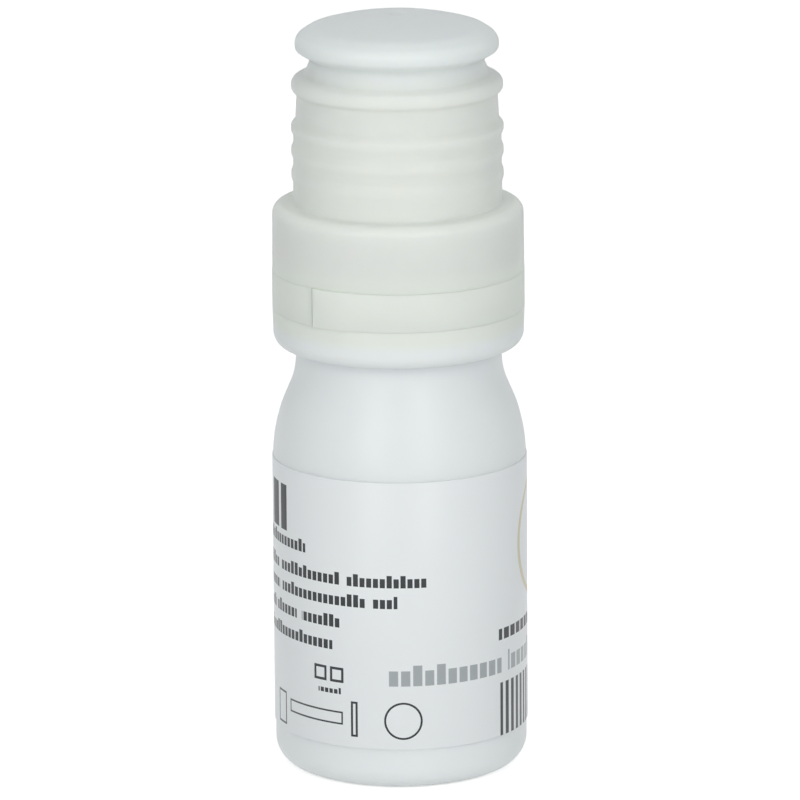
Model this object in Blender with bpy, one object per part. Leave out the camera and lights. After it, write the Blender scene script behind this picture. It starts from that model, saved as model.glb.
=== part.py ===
"""Eye drop bottle with a pull-off cap, a tear-off band and a spring-closed drop nozzle.

Metres, +Z up. The origin is the middle of the standing ring, on the surface the bottle stands on.
Every piece is turned about the upright axis, then cut where it has ports, slots or a split.
"""

import math

import bmesh
import bpy
from mathutils import Matrix, Vector

# Squeeze bottle: its body is as wide as the closure, so the neck's radius follows from the closure's walls
BODY_RADIUS = 0.01216
BODY_WALL = 0.0010
FOOT_ROUND = 0.0027
STANDING_RING_WIDTH = 0.00226
PUSH_UP_DEPTH = 0.0008
SHOULDER_CORNER_HEIGHT = 0.0336
SHOULDER_ROUND = 0.0130
SHOULDER_RISE = 0.00528
NECK_WALL = 0.0012
NECK_ROUND = 0.0060
NECK_BEAD_PROUD = 0.00045
NECK_BEAD_LAND = 0.0007
NECK_BEAD_LEAD = 0.0006
MOUTH_CHAMFER = 0.0003

# Wrap-round label
LABEL_FOOT_HEIGHT = 0.0043
LABEL_HEIGHT = 0.0263
LABEL_THICKNESS = 0.00008
LABEL_GLUE_GAP = 0.00002
LABEL_SEAM = 0.0004

# Push-on collar: a lower band that shows, and a spigot that the band and the cap sit round
CLOSURE_SET_BACK = 0.00007
COLLAR_STANDOFF = 0.00255
COLLAR_BAND_HEIGHT = 0.00372
COLLAR_EDGE_ROUND = 0.00075
COLLAR_DRAFT = 0.00008
COLLAR_LIP_HEIGHT = 0.0020
SPIGOT_WALL = 0.0007
SPIGOT_BEAD_PROUD = 0.0002
SPIGOT_BEAD_RISE = 0.0026
SPIGOT_BEAD_HEIGHT = 0.0008
SPIGOT_CHAMFER = 0.0003
DECK_THICKNESS = 0.0008
DECK_WIDTH = 0.0022

# Tear-off band, split where its raised tab starts, with bridges that hold it to its neighbours
BAND_HEIGHT = 0.0035
BAND_WALL = 0.00109
BAND_EDGE_CHAMFER = 0.00012
BAND_SPLIT_WIDTH = 0.00035
TAB_PROUD = 0.00025
TAB_SPAN = math.radians(24)
BRIDGE_COUNT = 9
BRIDGE_WIDTH = 0.0006
BRIDGE_DEPTH = 0.0005
BRIDGE_HEIGHT = 0.00006

# Pull-off cap
SKIRT_HEIGHT = 0.00642
SKIRT_SET_BACK = 0.00005
SKIRT_DRAFT = 0.00006
SKIRT_WALL = 0.00085
SKIRT_TOP_ROUND = 0.0011
SKIRT_BEAD_RISE = 0.0014
CAP_LEDGE_WIDTH = 0.00192
CAP_STEP_WALL = 0.0010
CAP_WALL = 0.0010
CAP_HEADROOM = 0.00035
BARREL_TAPER = 0.00056
GRIP_RING_COUNT = 3
GRIP_RING_FIRST_RISE = 0.00283
GRIP_RING_PITCH = 0.00227
GRIP_RING_PROUD = 0.00008
GRIP_RING_FOOT = 0.00155
GRIP_RING_CREST = 0.00035
THICK_RING_RISE = 0.0104
THICK_RING_HEIGHT = 0.0020
THICK_RING_ROUND = 0.0006
WAIST_FOOT_DEPTH = 0.00133
WAIST_TAPER = 0.00051
WAIST_HEIGHT = 0.0016
HEAD_SET_BACK = 0.00035
HEAD_UNDERCUT_HEIGHT = 0.0009
HEAD_LOWER_ROUND = 0.00045
HEAD_RIM_HEIGHT = 0.0012
HEAD_UPPER_ROUND = 0.0013
CROWN_SET_BACK = 0.00134
CROWN_EDGE_RISE = 0.0009
CROWN_EDGE_ROUND = 0.0030
CROWN_RISE = 0.00128
ROOF_CORNER_ROUND = 0.0008
GATE_RADIUS = 0.0006
GATE_DEPTH = 0.0002

# Drop nozzle
NOZZLE_FLANGE_THICKNESS = 0.0008
NOZZLE_FLANGE_SET_BACK = 0.0003
CONE_FOOT_SHARE = 0.84
CONE_FOOT_HEIGHT = 0.0040
CONE_FOOT_TAPER = 0.0003
CONE_HEIGHT = 0.0082
CONE_WALL = 0.0010
CONE_TOP_RADIUS = 0.0033
TIP_RADIUS = 0.0026
TIP_HEIGHT = 0.0018
TIP_ROUND = 0.0007
TIP_CUP_RADIUS = 0.0015
TIP_CUP_DEPTH = 0.0005
OUTLET_RADIUS = 0.0005
OUTLET_LENGTH = 0.0008
STEM_BORE_RADIUS = 0.0019
STEM_BORE_LENGTH = 0.0012

# Dispenser base: flange, plug in the neck, and the well and tower that guide the pin
BASE_FLANGE_THICKNESS = 0.0009
BASE_FLANGE_SET_BACK = 0.0001
PLUG_WALL = 0.0009
PLUG_DEPTH = 0.0042
PLUG_CHAMFER = 0.0003
TOWER_SHARE = 0.51
TOWER_WALL = 0.0008
TOWER_HEIGHT = 0.0056
WELL_DEPTH = 0.0036
WELL_FLOOR = 0.0007
PORT_COUNT = 8
PORT_SHARE = 0.3
VENT_COUNT = 8
VENT_HOLE_RADIUS = 0.00035
FILTER_POCKET_WIDTH = 0.0016
FILTER_POCKET_DEPTH = 0.0004
FILTER_THICKNESS = 0.0003
GASKET_THICKNESS = 0.0006

# Flow restrictor under the ports
RESTRICTOR_WIDTH = 0.0019
RESTRICTOR_THICKNESS = 0.0012
RESTRICTOR_RIM = 0.0002
RESTRICTOR_GROOVE_WIDTH = 0.0009
RESTRICTOR_GROOVE_DEPTH = 0.0004
NOTCH_COUNT = 4
NOTCH_WIDTH = 0.0005

# Valve pin with its seal and spring
PISTON_MARGIN = 0.0004
PISTON_TOP_STEP = 0.0004
PISTON_GROOVE_DEPTH = 0.0009
PISTON_FLANGE_THICKNESS = 0.0004
SEAL_HEIGHT = 0.0009
SEAL_LIP_DEPTH = 0.0005
SEAL_LIP_WIDTH = 0.0005
SEAL_FLARE = 0.00012
PIN_SPIGOT_MARGIN = 0.00065
PIN_SPIGOT_LENGTH = 0.0014
STEM_RADIUS = 0.0012
PIN_POINT_RADIUS = 0.00042
GUIDE_HEIGHT = 0.0012
GUIDE_NOTCH_COUNT = 3
GUIDE_NOTCH_WIDTH = 0.0009
PISTON_SEAT_DROP = 0.0018
SPRING_MARGIN = 0.0009
SPRING_WIRE_RADIUS = 0.000225
SPRING_CURLS = 6

# Gaps between neighbours, and the overrun of every cut
FIT_GAP = 0.0002
SLIDE_GAP = 0.00008
SEAT_GAP = 0.00005
SEAM_GAP = 0.0001
CONE_SEAT_GAP = 0.0001
OVERRUN = 0.0004

# Fineness of the facets, and the places round the axis where ends and notches start
ROUND_FINENESS = 0.00005
WELD = 0.0000001
SHELL_SIDES = 36
SMALL_SIDES = 24
HOLE_SIDES = 8
CROWN_STEPS = 4
CURL_POINTS = 10
SHARP_ANGLE = math.radians(35)
LABEL_SEAM_ANGLE = math.radians(90)
BAND_SPLIT_ANGLE = math.radians(-132.3)
RESTRICTOR_NOTCH_ANGLE = math.radians(45)
GUIDE_NOTCH_ANGLE = math.radians(90)

# Radii that follow from one another, from the body inwards to the neck and the nozzle
BAND_RADIUS = BODY_RADIUS - CLOSURE_SET_BACK
BAND_BORE = BAND_RADIUS - BAND_WALL
SPIGOT_RADIUS = BAND_BORE - FIT_GAP
COLLAR_BORE = SPIGOT_RADIUS - SPIGOT_WALL
NECK_RADIUS = COLLAR_BORE - FIT_GAP
NECK_BORE = NECK_RADIUS - NECK_WALL
COLLAR_POCKET = NECK_RADIUS + NECK_BEAD_PROUD + FIT_GAP
DECK_HOLE_RADIUS = COLLAR_BORE - DECK_WIDTH
PUSH_UP_RADIUS = BODY_RADIUS - FOOT_ROUND - STANDING_RING_WIDTH
PLUG_RADIUS = NECK_BORE - FIT_GAP
PLUG_BORE = PLUG_RADIUS - PLUG_WALL

# Radii of the mechanism inside the plug's bore that follow from one another
CONE_FOOT_RADIUS = PLUG_BORE * CONE_FOOT_SHARE
TOWER_RADIUS = PLUG_BORE * TOWER_SHARE
TOWER_BORE_RADIUS = TOWER_RADIUS - TOWER_WALL
VENT_RING_RADIUS = (PLUG_BORE + CONE_FOOT_RADIUS) / 2
PORT_GALLERY_WIDTH = CONE_FOOT_RADIUS - CONE_WALL - TOWER_RADIUS
PORT_RING_RADIUS = TOWER_RADIUS + PORT_GALLERY_WIDTH / 2
PORT_RADIUS = PORT_GALLERY_WIDTH * PORT_SHARE
PISTON_FLANGE_RADIUS = TOWER_BORE_RADIUS - PISTON_MARGIN
PISTON_TOP_RADIUS = PISTON_FLANGE_RADIUS - PISTON_TOP_STEP
PISTON_CORE_RADIUS = PISTON_FLANGE_RADIUS - PISTON_GROOVE_DEPTH
SPRING_RADIUS = TOWER_BORE_RADIUS - SPRING_MARGIN
PIN_SPIGOT_RADIUS = SPRING_RADIUS - SPRING_WIRE_RADIUS - PIN_SPIGOT_MARGIN

# Radii of the cap that follow from one another
SKIRT_RADIUS = BAND_RADIUS - SKIRT_SET_BACK
SKIRT_BORE = SKIRT_RADIUS - SKIRT_WALL
SPIGOT_BEAD_RADIUS = SPIGOT_RADIUS + SPIGOT_BEAD_PROUD
SKIRT_BEAD_BORE = SPIGOT_BEAD_RADIUS + SLIDE_GAP
SKIRT_TOP_RADIUS = SKIRT_RADIUS - SKIRT_DRAFT
BARREL_RADIUS = SKIRT_TOP_RADIUS - CAP_LEDGE_WIDTH
GRIP_RING_RADIUS = BARREL_RADIUS + GRIP_RING_PROUD
WAIST_FOOT_RADIUS = BARREL_RADIUS - WAIST_FOOT_DEPTH
WAIST_TOP_RADIUS = WAIST_FOOT_RADIUS - WAIST_TAPER
HEAD_RADIUS = BARREL_RADIUS - HEAD_SET_BACK
CROWN_EDGE_RADIUS = HEAD_RADIUS - CROWN_SET_BACK

# Heights that follow from one another, from the shoulder up to the ledge of the cap
NECK_CORNER_HEIGHT = SHOULDER_CORNER_HEIGHT + SHOULDER_RISE
COLLAR_FOOT = NECK_CORNER_HEIGHT + COLLAR_STANDOFF
COLLAR_BAND_TOP = COLLAR_FOOT + COLLAR_BAND_HEIGHT
BAND_FOOT = COLLAR_BAND_TOP + SEAM_GAP
BAND_TOP = BAND_FOOT + BAND_HEIGHT
CAP_FOOT = BAND_TOP + SEAM_GAP
CAP_LEDGE = CAP_FOOT + SKIRT_HEIGHT

# Heights of the stack that the collar clamps on the mouth, from the ledge of the cap downwards
CAP_STEP_UNDERSIDE = CAP_LEDGE - CAP_STEP_WALL
DECK_TOP = CAP_STEP_UNDERSIDE - CAP_HEADROOM
DECK_UNDERSIDE = DECK_TOP - DECK_THICKNESS
NOZZLE_FLANGE_TOP = DECK_UNDERSIDE - SEAT_GAP
NOZZLE_FOOT = NOZZLE_FLANGE_TOP - NOZZLE_FLANGE_THICKNESS
BASE_TOP = NOZZLE_FOOT - SEAT_GAP
BASE_UNDERSIDE = BASE_TOP - BASE_FLANGE_THICKNESS
GASKET_TOP = BASE_UNDERSIDE - SEAT_GAP
GASKET_FOOT = GASKET_TOP - GASKET_THICKNESS
MOUTH = GASKET_FOOT - SEAT_GAP

# Heights inside the nozzle
CONE_FOOT_TOP = NOZZLE_FLANGE_TOP + CONE_FOOT_HEIGHT
CONE_TOP = CONE_FOOT_TOP + CONE_HEIGHT
TIP_TOP = CONE_TOP + TIP_HEIGHT
OUTLET_FOOT = TIP_TOP - TIP_CUP_DEPTH - OUTLET_LENGTH
STEM_BORE_TOP = OUTLET_FOOT - (STEM_BORE_RADIUS - OUTLET_RADIUS)
STEM_BORE_FOOT = STEM_BORE_TOP - STEM_BORE_LENGTH
TOWER_TOP = BASE_TOP + TOWER_HEIGHT
WELL_BOTTOM = BASE_UNDERSIDE - WELL_DEPTH
SPRING_SEAT = WELL_BOTTOM + WELL_FLOOR
PISTON_FOOT = TOWER_TOP - PISTON_SEAT_DROP


def finish(name, colour, roughness, metallic=0.0):
    """A plain Principled material with the colour, roughness and metallic value of the real piece."""
    material = bpy.data.materials.new(name)
    material.use_nodes = True
    shader = material.node_tree.nodes["Principled BSDF"]
    shader.inputs["Base Color"].default_value = (*colour, 1.0)
    shader.inputs["Roughness"].default_value = roughness
    shader.inputs["Metallic"].default_value = metallic
    material.diffuse_color = (*colour, 1.0)
    return material


def placed(name, mesh, material):
    """Link a mesh into the scene as a named piece, shaded smooth with its edges kept sharp."""
    data = bpy.data.meshes.new(name)
    mesh.to_mesh(data)
    mesh.free()
    data.shade_smooth()
    data.set_sharp_from_angle(angle=SHARP_ANGLE)
    piece = bpy.data.objects.new(name, data)
    bpy.context.collection.objects.link(piece)
    if material:
        data.materials.append(material)
    return piece


def rounded(corners):
    """Turn corners, given as (radius, height, round), into points, with an arc wherever round isn't 0."""
    points = []
    last = len(corners) - 1
    for index, (radius, height, fillet) in enumerate(corners):
        corner = Vector((radius, height))
        if not fillet or index in (0, last):
            points.append(tuple(corner))
            continue
        back = Vector(corners[index - 1][:2]) - corner
        ahead = Vector(corners[index + 1][:2]) - corner
        half = back.angle(ahead) / 2
        # The arc uses at most half of each side, so that two rounds never cross
        reach = min(fillet / math.tan(half), back.length / 2, ahead.length / 2)
        fillet = reach * math.tan(half)
        centre = corner + (back.normalized() + ahead.normalized()).normalized() * fillet / math.sin(half)
        first = corner + back.normalized() * reach - centre
        turn = first.angle_signed(corner + ahead.normalized() * reach - centre)
        steps = max(1, math.ceil(abs(turn) / math.sqrt(8 * ROUND_FINENESS / fillet)))
        for step in range(steps + 1):
            points.append(tuple(centre + Matrix.Rotation(-turn * step / steps, 2) @ first))
    return points


def spun(outline, sides):
    """Spin a closed outline of (radius, height) points once about the upright axis into one closed skin."""
    mesh = bmesh.new()
    ring = [mesh.verts.new((radius, 0, height)) for radius, height in outline]
    pairs = list(zip(ring, ring[1:] + ring[:1]))
    edges = [mesh.edges.new(pair) for pair in pairs if pair[0].co.x > WELD or pair[1].co.x > WELD]
    bmesh.ops.spin(
        mesh, geom=ring + edges, axis=(0, 0, 1), cent=(0, 0, 0), angle=math.tau, steps=sides, use_merge=True
    )
    bmesh.ops.remove_doubles(mesh, verts=mesh.verts, dist=WELD)
    bmesh.ops.recalc_face_normals(mesh, faces=mesh.faces)
    return mesh


def swept(outline, sides, start, opening):
    """Sweep a closed outline round the upright axis from an angle, stopping short by an opening's angle."""
    mesh = bmesh.new()
    section = mesh.faces.new([mesh.verts.new((radius, 0, height)) for radius, height in outline])
    bmesh.ops.rotate(mesh, verts=mesh.verts, cent=(0, 0, 0), matrix=Matrix.Rotation(start, 3, "Z"))
    bmesh.ops.spin(
        mesh, geom=[section, *section.edges, *section.verts], axis=(0, 0, 1), cent=(0, 0, 0),
        angle=math.tau - opening, steps=sides,
    )
    bmesh.ops.recalc_face_normals(mesh, faces=mesh.faces)
    return mesh


def turned(name, outline, material, sides=SHELL_SIDES):
    """A named piece turned from its outline."""
    return placed(name, spun(outline, sides), material)


def crown(centre_height, edge_radius, edge_height):
    """Points of a shallow crown, from near its edge to the axis."""
    drop = centre_height - edge_height
    shares = [step / CROWN_STEPS for step in range(CROWN_STEPS - 1, -1, -1)]
    return [(edge_radius * share, centre_height - drop * share**2) for share in shares]


def helper(name, mesh):
    """A cutter or a joiner: it shapes another piece and isn't one itself."""
    tool = placed(name, mesh, None)
    tool.hide_render = True
    tool.display_type = "WIRE"
    return tool


def combine(piece, tool, operation):
    """Cut a piece with a helper, or join them."""
    modifier = piece.modifiers.new(tool.name, "BOOLEAN")
    modifier.object = tool
    modifier.operation = operation
    modifier.solver = "EXACT"


def round_the_ring(count, start=0.0):
    """The angles of evenly spaced copies."""
    return [start + math.tau * copy / count for copy in range(count)]


def add_peg(mesh, radius, low, high, ring_radius, angle):
    """Add one upright peg to a helper's mesh."""
    centre = Vector((ring_radius * math.cos(angle), ring_radius * math.sin(angle), (low + high) / 2))
    bmesh.ops.create_cone(
        mesh,
        cap_ends=True,
        segments=HOLE_SIDES,
        radius1=radius,
        radius2=radius,
        depth=high - low,
        matrix=Matrix.Translation(centre) @ Matrix.Rotation(angle, 4, "Z"),
    )


def add_block(mesh, width, inner, outer, low, high, angle):
    """Add one block to a helper's mesh: it reaches from inner to outer radius at an angle."""
    size = Matrix.Diagonal((outer - inner, width, high - low, 1))
    centre = Matrix.Translation(((inner + outer) / 2, 0, (low + high) / 2))
    bmesh.ops.create_cube(mesh, size=1, matrix=Matrix.Rotation(angle, 4, "Z") @ centre @ size)


def pegs(name, radius, low, high, ring_radius, count, start=0.0):
    """A helper of evenly spaced upright pegs."""
    mesh = bmesh.new()
    for angle in round_the_ring(count, start):
        add_peg(mesh, radius, low, high, ring_radius, angle)
    return helper(name, mesh)


def blocks(name, width, inner, outer, low, high, angles):
    """A helper of blocks that stand at the angles given."""
    mesh = bmesh.new()
    for angle in angles:
        add_block(mesh, width, inner, outer, low, high, angle)
    return helper(name, mesh)


def make_bottle():
    """Blow-moulded bottle: push-up base, straight body, shoulder, and neck with its snap bead."""
    bead_foot = COLLAR_FOOT + COLLAR_LIP_HEIGHT + SEAT_GAP
    bead_radius = NECK_RADIUS + NECK_BEAD_PROUD
    outside = rounded([
        (PUSH_UP_RADIUS, 0, 0),
        (BODY_RADIUS, 0, FOOT_ROUND),
        (BODY_RADIUS, SHOULDER_CORNER_HEIGHT, SHOULDER_ROUND),
        (NECK_RADIUS, NECK_CORNER_HEIGHT, NECK_ROUND),
        (NECK_RADIUS, bead_foot, 0),
        (bead_radius, bead_foot, 0),
        (bead_radius, bead_foot + NECK_BEAD_LAND, 0),
        (NECK_RADIUS, bead_foot + NECK_BEAD_LAND + NECK_BEAD_LEAD, 0),
        (NECK_RADIUS, MOUTH - MOUTH_CHAMFER, 0),
        (NECK_RADIUS - MOUTH_CHAMFER, MOUTH, 0),
        (NECK_BORE, MOUTH, 0),
    ])
    inside = rounded([
        (NECK_BORE, MOUTH, 0),
        (NECK_BORE, NECK_CORNER_HEIGHT, NECK_ROUND),
        (BODY_RADIUS - BODY_WALL, SHOULDER_CORNER_HEIGHT, SHOULDER_ROUND),
        (BODY_RADIUS - BODY_WALL, BODY_WALL, FOOT_ROUND - BODY_WALL),
        (PUSH_UP_RADIUS, BODY_WALL, 0),
    ])
    floor = crown(PUSH_UP_DEPTH + BODY_WALL, PUSH_UP_RADIUS, BODY_WALL)
    push_up = crown(PUSH_UP_DEPTH, PUSH_UP_RADIUS, 0)
    white = finish("white_squeeze_plastic", (0.80, 0.83, 0.84), 0.42)
    turned("bottle", outside + inside[1:] + floor + push_up[::-1], white)


def make_label():
    """Thin film wrapped once round the body, its ends nearly meeting at the back."""
    inner = BODY_RADIUS + LABEL_GLUE_GAP
    outer = inner + LABEL_THICKNESS
    top = LABEL_FOOT_HEIGHT + LABEL_HEIGHT
    outline = [(inner, LABEL_FOOT_HEIGHT), (outer, LABEL_FOOT_HEIGHT), (outer, top), (inner, top)]
    seam = LABEL_SEAM / outer
    film = finish("white_label_film", (0.78, 0.80, 0.81), 0.38)
    placed("label", swept(outline, SHELL_SIDES, LABEL_SEAM_ANGLE + seam / 2, seam), film)


def make_closure_collar():
    """Push-on collar: a lip under the neck bead, a spigot for band and cap, and a deck on the nozzle."""
    lip_top = COLLAR_FOOT + COLLAR_LIP_HEIGHT
    pocket_top = lip_top + NECK_BEAD_LAND + SEAT_GAP + FIT_GAP
    pocket_end = pocket_top + NECK_BEAD_LEAD
    bead_foot = CAP_FOOT + SPIGOT_BEAD_RISE
    outline = rounded([
        (COLLAR_BORE, COLLAR_FOOT, 0),
        (BAND_RADIUS - COLLAR_DRAFT, COLLAR_FOOT, COLLAR_EDGE_ROUND),
        (BAND_RADIUS, COLLAR_BAND_TOP - BAND_EDGE_CHAMFER, 0),
        (BAND_RADIUS - BAND_EDGE_CHAMFER, COLLAR_BAND_TOP, 0),
        (SPIGOT_RADIUS, COLLAR_BAND_TOP, 0),
        (SPIGOT_RADIUS, bead_foot, 0),
        (SPIGOT_BEAD_RADIUS, bead_foot + SPIGOT_BEAD_HEIGHT / 2, 0),
        (SPIGOT_RADIUS, bead_foot + SPIGOT_BEAD_HEIGHT, 0),
        (SPIGOT_RADIUS, DECK_TOP - SPIGOT_CHAMFER, 0),
        (SPIGOT_RADIUS - SPIGOT_CHAMFER, DECK_TOP, 0),
        (DECK_HOLE_RADIUS, DECK_TOP, 0),
        (DECK_HOLE_RADIUS, DECK_UNDERSIDE, 0),
        (COLLAR_BORE, DECK_UNDERSIDE, 0),
        (COLLAR_BORE, pocket_end, 0),
        (COLLAR_POCKET, pocket_top, 0),
        (COLLAR_POCKET, lip_top, 0),
        (COLLAR_BORE, lip_top, 0),
    ])
    turned("closure_collar", outline, finish("natural_collar_plastic", (0.72, 0.76, 0.74), 0.40))


def raise_tab(mesh):
    """Lift the outside of the band towards the split, so that a fingertip finds the end of the tab."""
    for vertex in mesh.verts:
        along = (math.atan2(vertex.co.y, vertex.co.x) - BAND_SPLIT_ANGLE) % math.tau
        if along < TAB_SPAN and vertex.co.xy.length > BAND_RADIUS - 2 * BAND_EDGE_CHAMFER:
            lift = TAB_PROUD * (1 - (along / TAB_SPAN) ** 2)
            vertex.co.xy *= 1 + lift / vertex.co.xy.length


def make_tamper_band():
    """Tear-off band: a loose ring, split at its tab, with small bridges on both edges."""
    outline = [
        (BAND_BORE, BAND_FOOT),
        (BAND_RADIUS - BAND_EDGE_CHAMFER, BAND_FOOT),
        (BAND_RADIUS, BAND_FOOT + BAND_EDGE_CHAMFER),
        (BAND_RADIUS, BAND_TOP - BAND_EDGE_CHAMFER),
        (BAND_RADIUS - BAND_EDGE_CHAMFER, BAND_TOP),
        (BAND_BORE, BAND_TOP),
    ]
    split = BAND_SPLIT_WIDTH / BAND_RADIUS
    mesh = swept(outline, SHELL_SIDES, BAND_SPLIT_ANGLE + split / 2, split)
    raise_tab(mesh)
    band = placed("tamper_band", mesh, finish("natural_band_plastic", (0.73, 0.77, 0.75), 0.40))
    half_pitch = math.tau / BRIDGE_COUNT / 2
    inner = BAND_BORE + FIT_GAP
    bridges = blocks(
        "band_bridge_joiner", BRIDGE_WIDTH, inner, inner + BRIDGE_DEPTH,
        BAND_FOOT - BRIDGE_HEIGHT, BAND_TOP + BRIDGE_HEIGHT,
        round_the_ring(BRIDGE_COUNT, BAND_SPLIT_ANGLE + half_pitch),
    )
    combine(band, bridges, "UNION")


def barrel_radius(height):
    """The cap's barrel narrows evenly from the ledge to the thick ring."""
    return BARREL_RADIUS - BARREL_TAPER * (height - CAP_LEDGE) / THICK_RING_RISE


def grip_rings():
    """The fine grip rings, bottom to top: a foot and a crest point on each side of each ring."""
    points = []
    for ring in range(GRIP_RING_COUNT):
        middle = CAP_LEDGE + GRIP_RING_FIRST_RISE + GRIP_RING_PITCH * ring
        for reach, radius in (
            (-GRIP_RING_FOOT / 2, None),
            (-GRIP_RING_CREST / 2, GRIP_RING_RADIUS),
            (GRIP_RING_CREST / 2, GRIP_RING_RADIUS),
            (GRIP_RING_FOOT / 2, None),
        ):
            height = middle + reach
            points.append((radius or barrel_radius(height), height, 0))
    return points


def make_protective_cap():
    """One-piece cap: skirt over the spigot, ringed barrel, waist, and mushroom head with a low crown."""
    thick_foot = CAP_LEDGE + THICK_RING_RISE
    thick_top = thick_foot + THICK_RING_HEIGHT
    waist_top = thick_top + WAIST_HEIGHT
    head_foot = waist_top + HEAD_UNDERCUT_HEIGHT
    rim_top = head_foot + HEAD_RIM_HEIGHT
    crown_edge = rim_top + CROWN_EDGE_RISE
    crown_top = crown_edge + CROWN_RISE
    outside = rounded([
        (SKIRT_BORE, CAP_FOOT, 0),
        (SKIRT_RADIUS - BAND_EDGE_CHAMFER, CAP_FOOT, 0),
        (SKIRT_RADIUS, CAP_FOOT + BAND_EDGE_CHAMFER, 0),
        (SKIRT_TOP_RADIUS, CAP_LEDGE, SKIRT_TOP_ROUND),
        (BARREL_RADIUS, CAP_LEDGE, 0),
        *grip_rings(),
        (barrel_radius(thick_foot), thick_foot, 0),
        (BARREL_RADIUS, thick_foot + THICK_RING_ROUND / 2, THICK_RING_ROUND),
        (BARREL_RADIUS, thick_top - THICK_RING_ROUND, THICK_RING_ROUND),
        (WAIST_FOOT_RADIUS, thick_top, 0),
        (WAIST_TOP_RADIUS, waist_top, HEAD_LOWER_ROUND),
        (HEAD_RADIUS, head_foot, HEAD_LOWER_ROUND),
        (HEAD_RADIUS, rim_top, HEAD_UPPER_ROUND),
        (CROWN_EDGE_RADIUS, crown_edge, CROWN_EDGE_ROUND),
        *[(*point, 0) for point in crown(crown_top, CROWN_EDGE_RADIUS, crown_edge)[:-1]],
        (GATE_RADIUS, crown_top, 0),
        (GATE_RADIUS, crown_top - GATE_DEPTH, 0),
        (0, crown_top - GATE_DEPTH, 0),
    ])
    waist_bore = WAIST_TOP_RADIUS - CAP_WALL
    roof_edge = crown_edge - CAP_WALL + CROWN_RISE * (1 - (waist_bore / CROWN_EDGE_RADIUS) ** 2)
    roof = crown(crown_top - CAP_WALL, waist_bore, roof_edge)
    bead_foot = CAP_FOOT + SKIRT_BEAD_RISE
    inside = rounded([
        (roof[0][0], roof[0][1], 0),
        (waist_bore, roof_edge, ROOF_CORNER_ROUND),
        (waist_bore, thick_top, 0),
        (barrel_radius(thick_foot) - CAP_WALL, thick_foot, 0),
        (BARREL_RADIUS - CAP_WALL, CAP_STEP_UNDERSIDE, 0),
        (SKIRT_BORE, CAP_STEP_UNDERSIDE, 0),
        (SKIRT_BORE, bead_foot + SPIGOT_BEAD_HEIGHT, 0),
        (SKIRT_BEAD_BORE, bead_foot + SPIGOT_BEAD_HEIGHT / 2, 0),
        (SKIRT_BORE, bead_foot, 0),
    ])
    milky = finish("natural_cap_plastic", (0.74, 0.78, 0.77), 0.38)
    turned("protective_cap", outside + roof[:0:-1] + inside, milky)


def make_nozzle():
    """Drop nozzle: flange under the deck, hollow cone, and tip with its drop cup and outlet."""
    flange_radius = COLLAR_BORE - NOZZLE_FLANGE_SET_BACK
    foot_top_radius = CONE_FOOT_RADIUS - CONE_FOOT_TAPER
    outline = rounded([
        (CONE_FOOT_RADIUS - CONE_WALL, NOZZLE_FOOT, 0),
        (flange_radius, NOZZLE_FOOT, 0),
        (flange_radius, NOZZLE_FLANGE_TOP, 0),
        (CONE_FOOT_RADIUS, NOZZLE_FLANGE_TOP, 0),
        (foot_top_radius, CONE_FOOT_TOP, CONE_HEIGHT / 2),
        (CONE_TOP_RADIUS, CONE_TOP, TIP_HEIGHT),
        (TIP_RADIUS, TIP_TOP, TIP_ROUND),
        (TIP_CUP_RADIUS, TIP_TOP, 0),
        (OUTLET_RADIUS, TIP_TOP - TIP_CUP_DEPTH, 0),
        (OUTLET_RADIUS, OUTLET_FOOT, 0),
        (STEM_BORE_RADIUS, STEM_BORE_TOP, 0),
        (STEM_BORE_RADIUS, STEM_BORE_FOOT, 0),
        (foot_top_radius - CONE_WALL, CONE_FOOT_TOP, 0),
    ])
    nozzle = turned("nozzle", outline, finish("ivory_nozzle_plastic", (0.80, 0.80, 0.72), 0.40))
    slots = pegs(
        "nozzle_vent_cutter", VENT_HOLE_RADIUS, NOZZLE_FOOT - OVERRUN, NOZZLE_FLANGE_TOP + OVERRUN,
        VENT_RING_RADIUS, VENT_COUNT,
    )
    combine(nozzle, slots, "DIFFERENCE")


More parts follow.
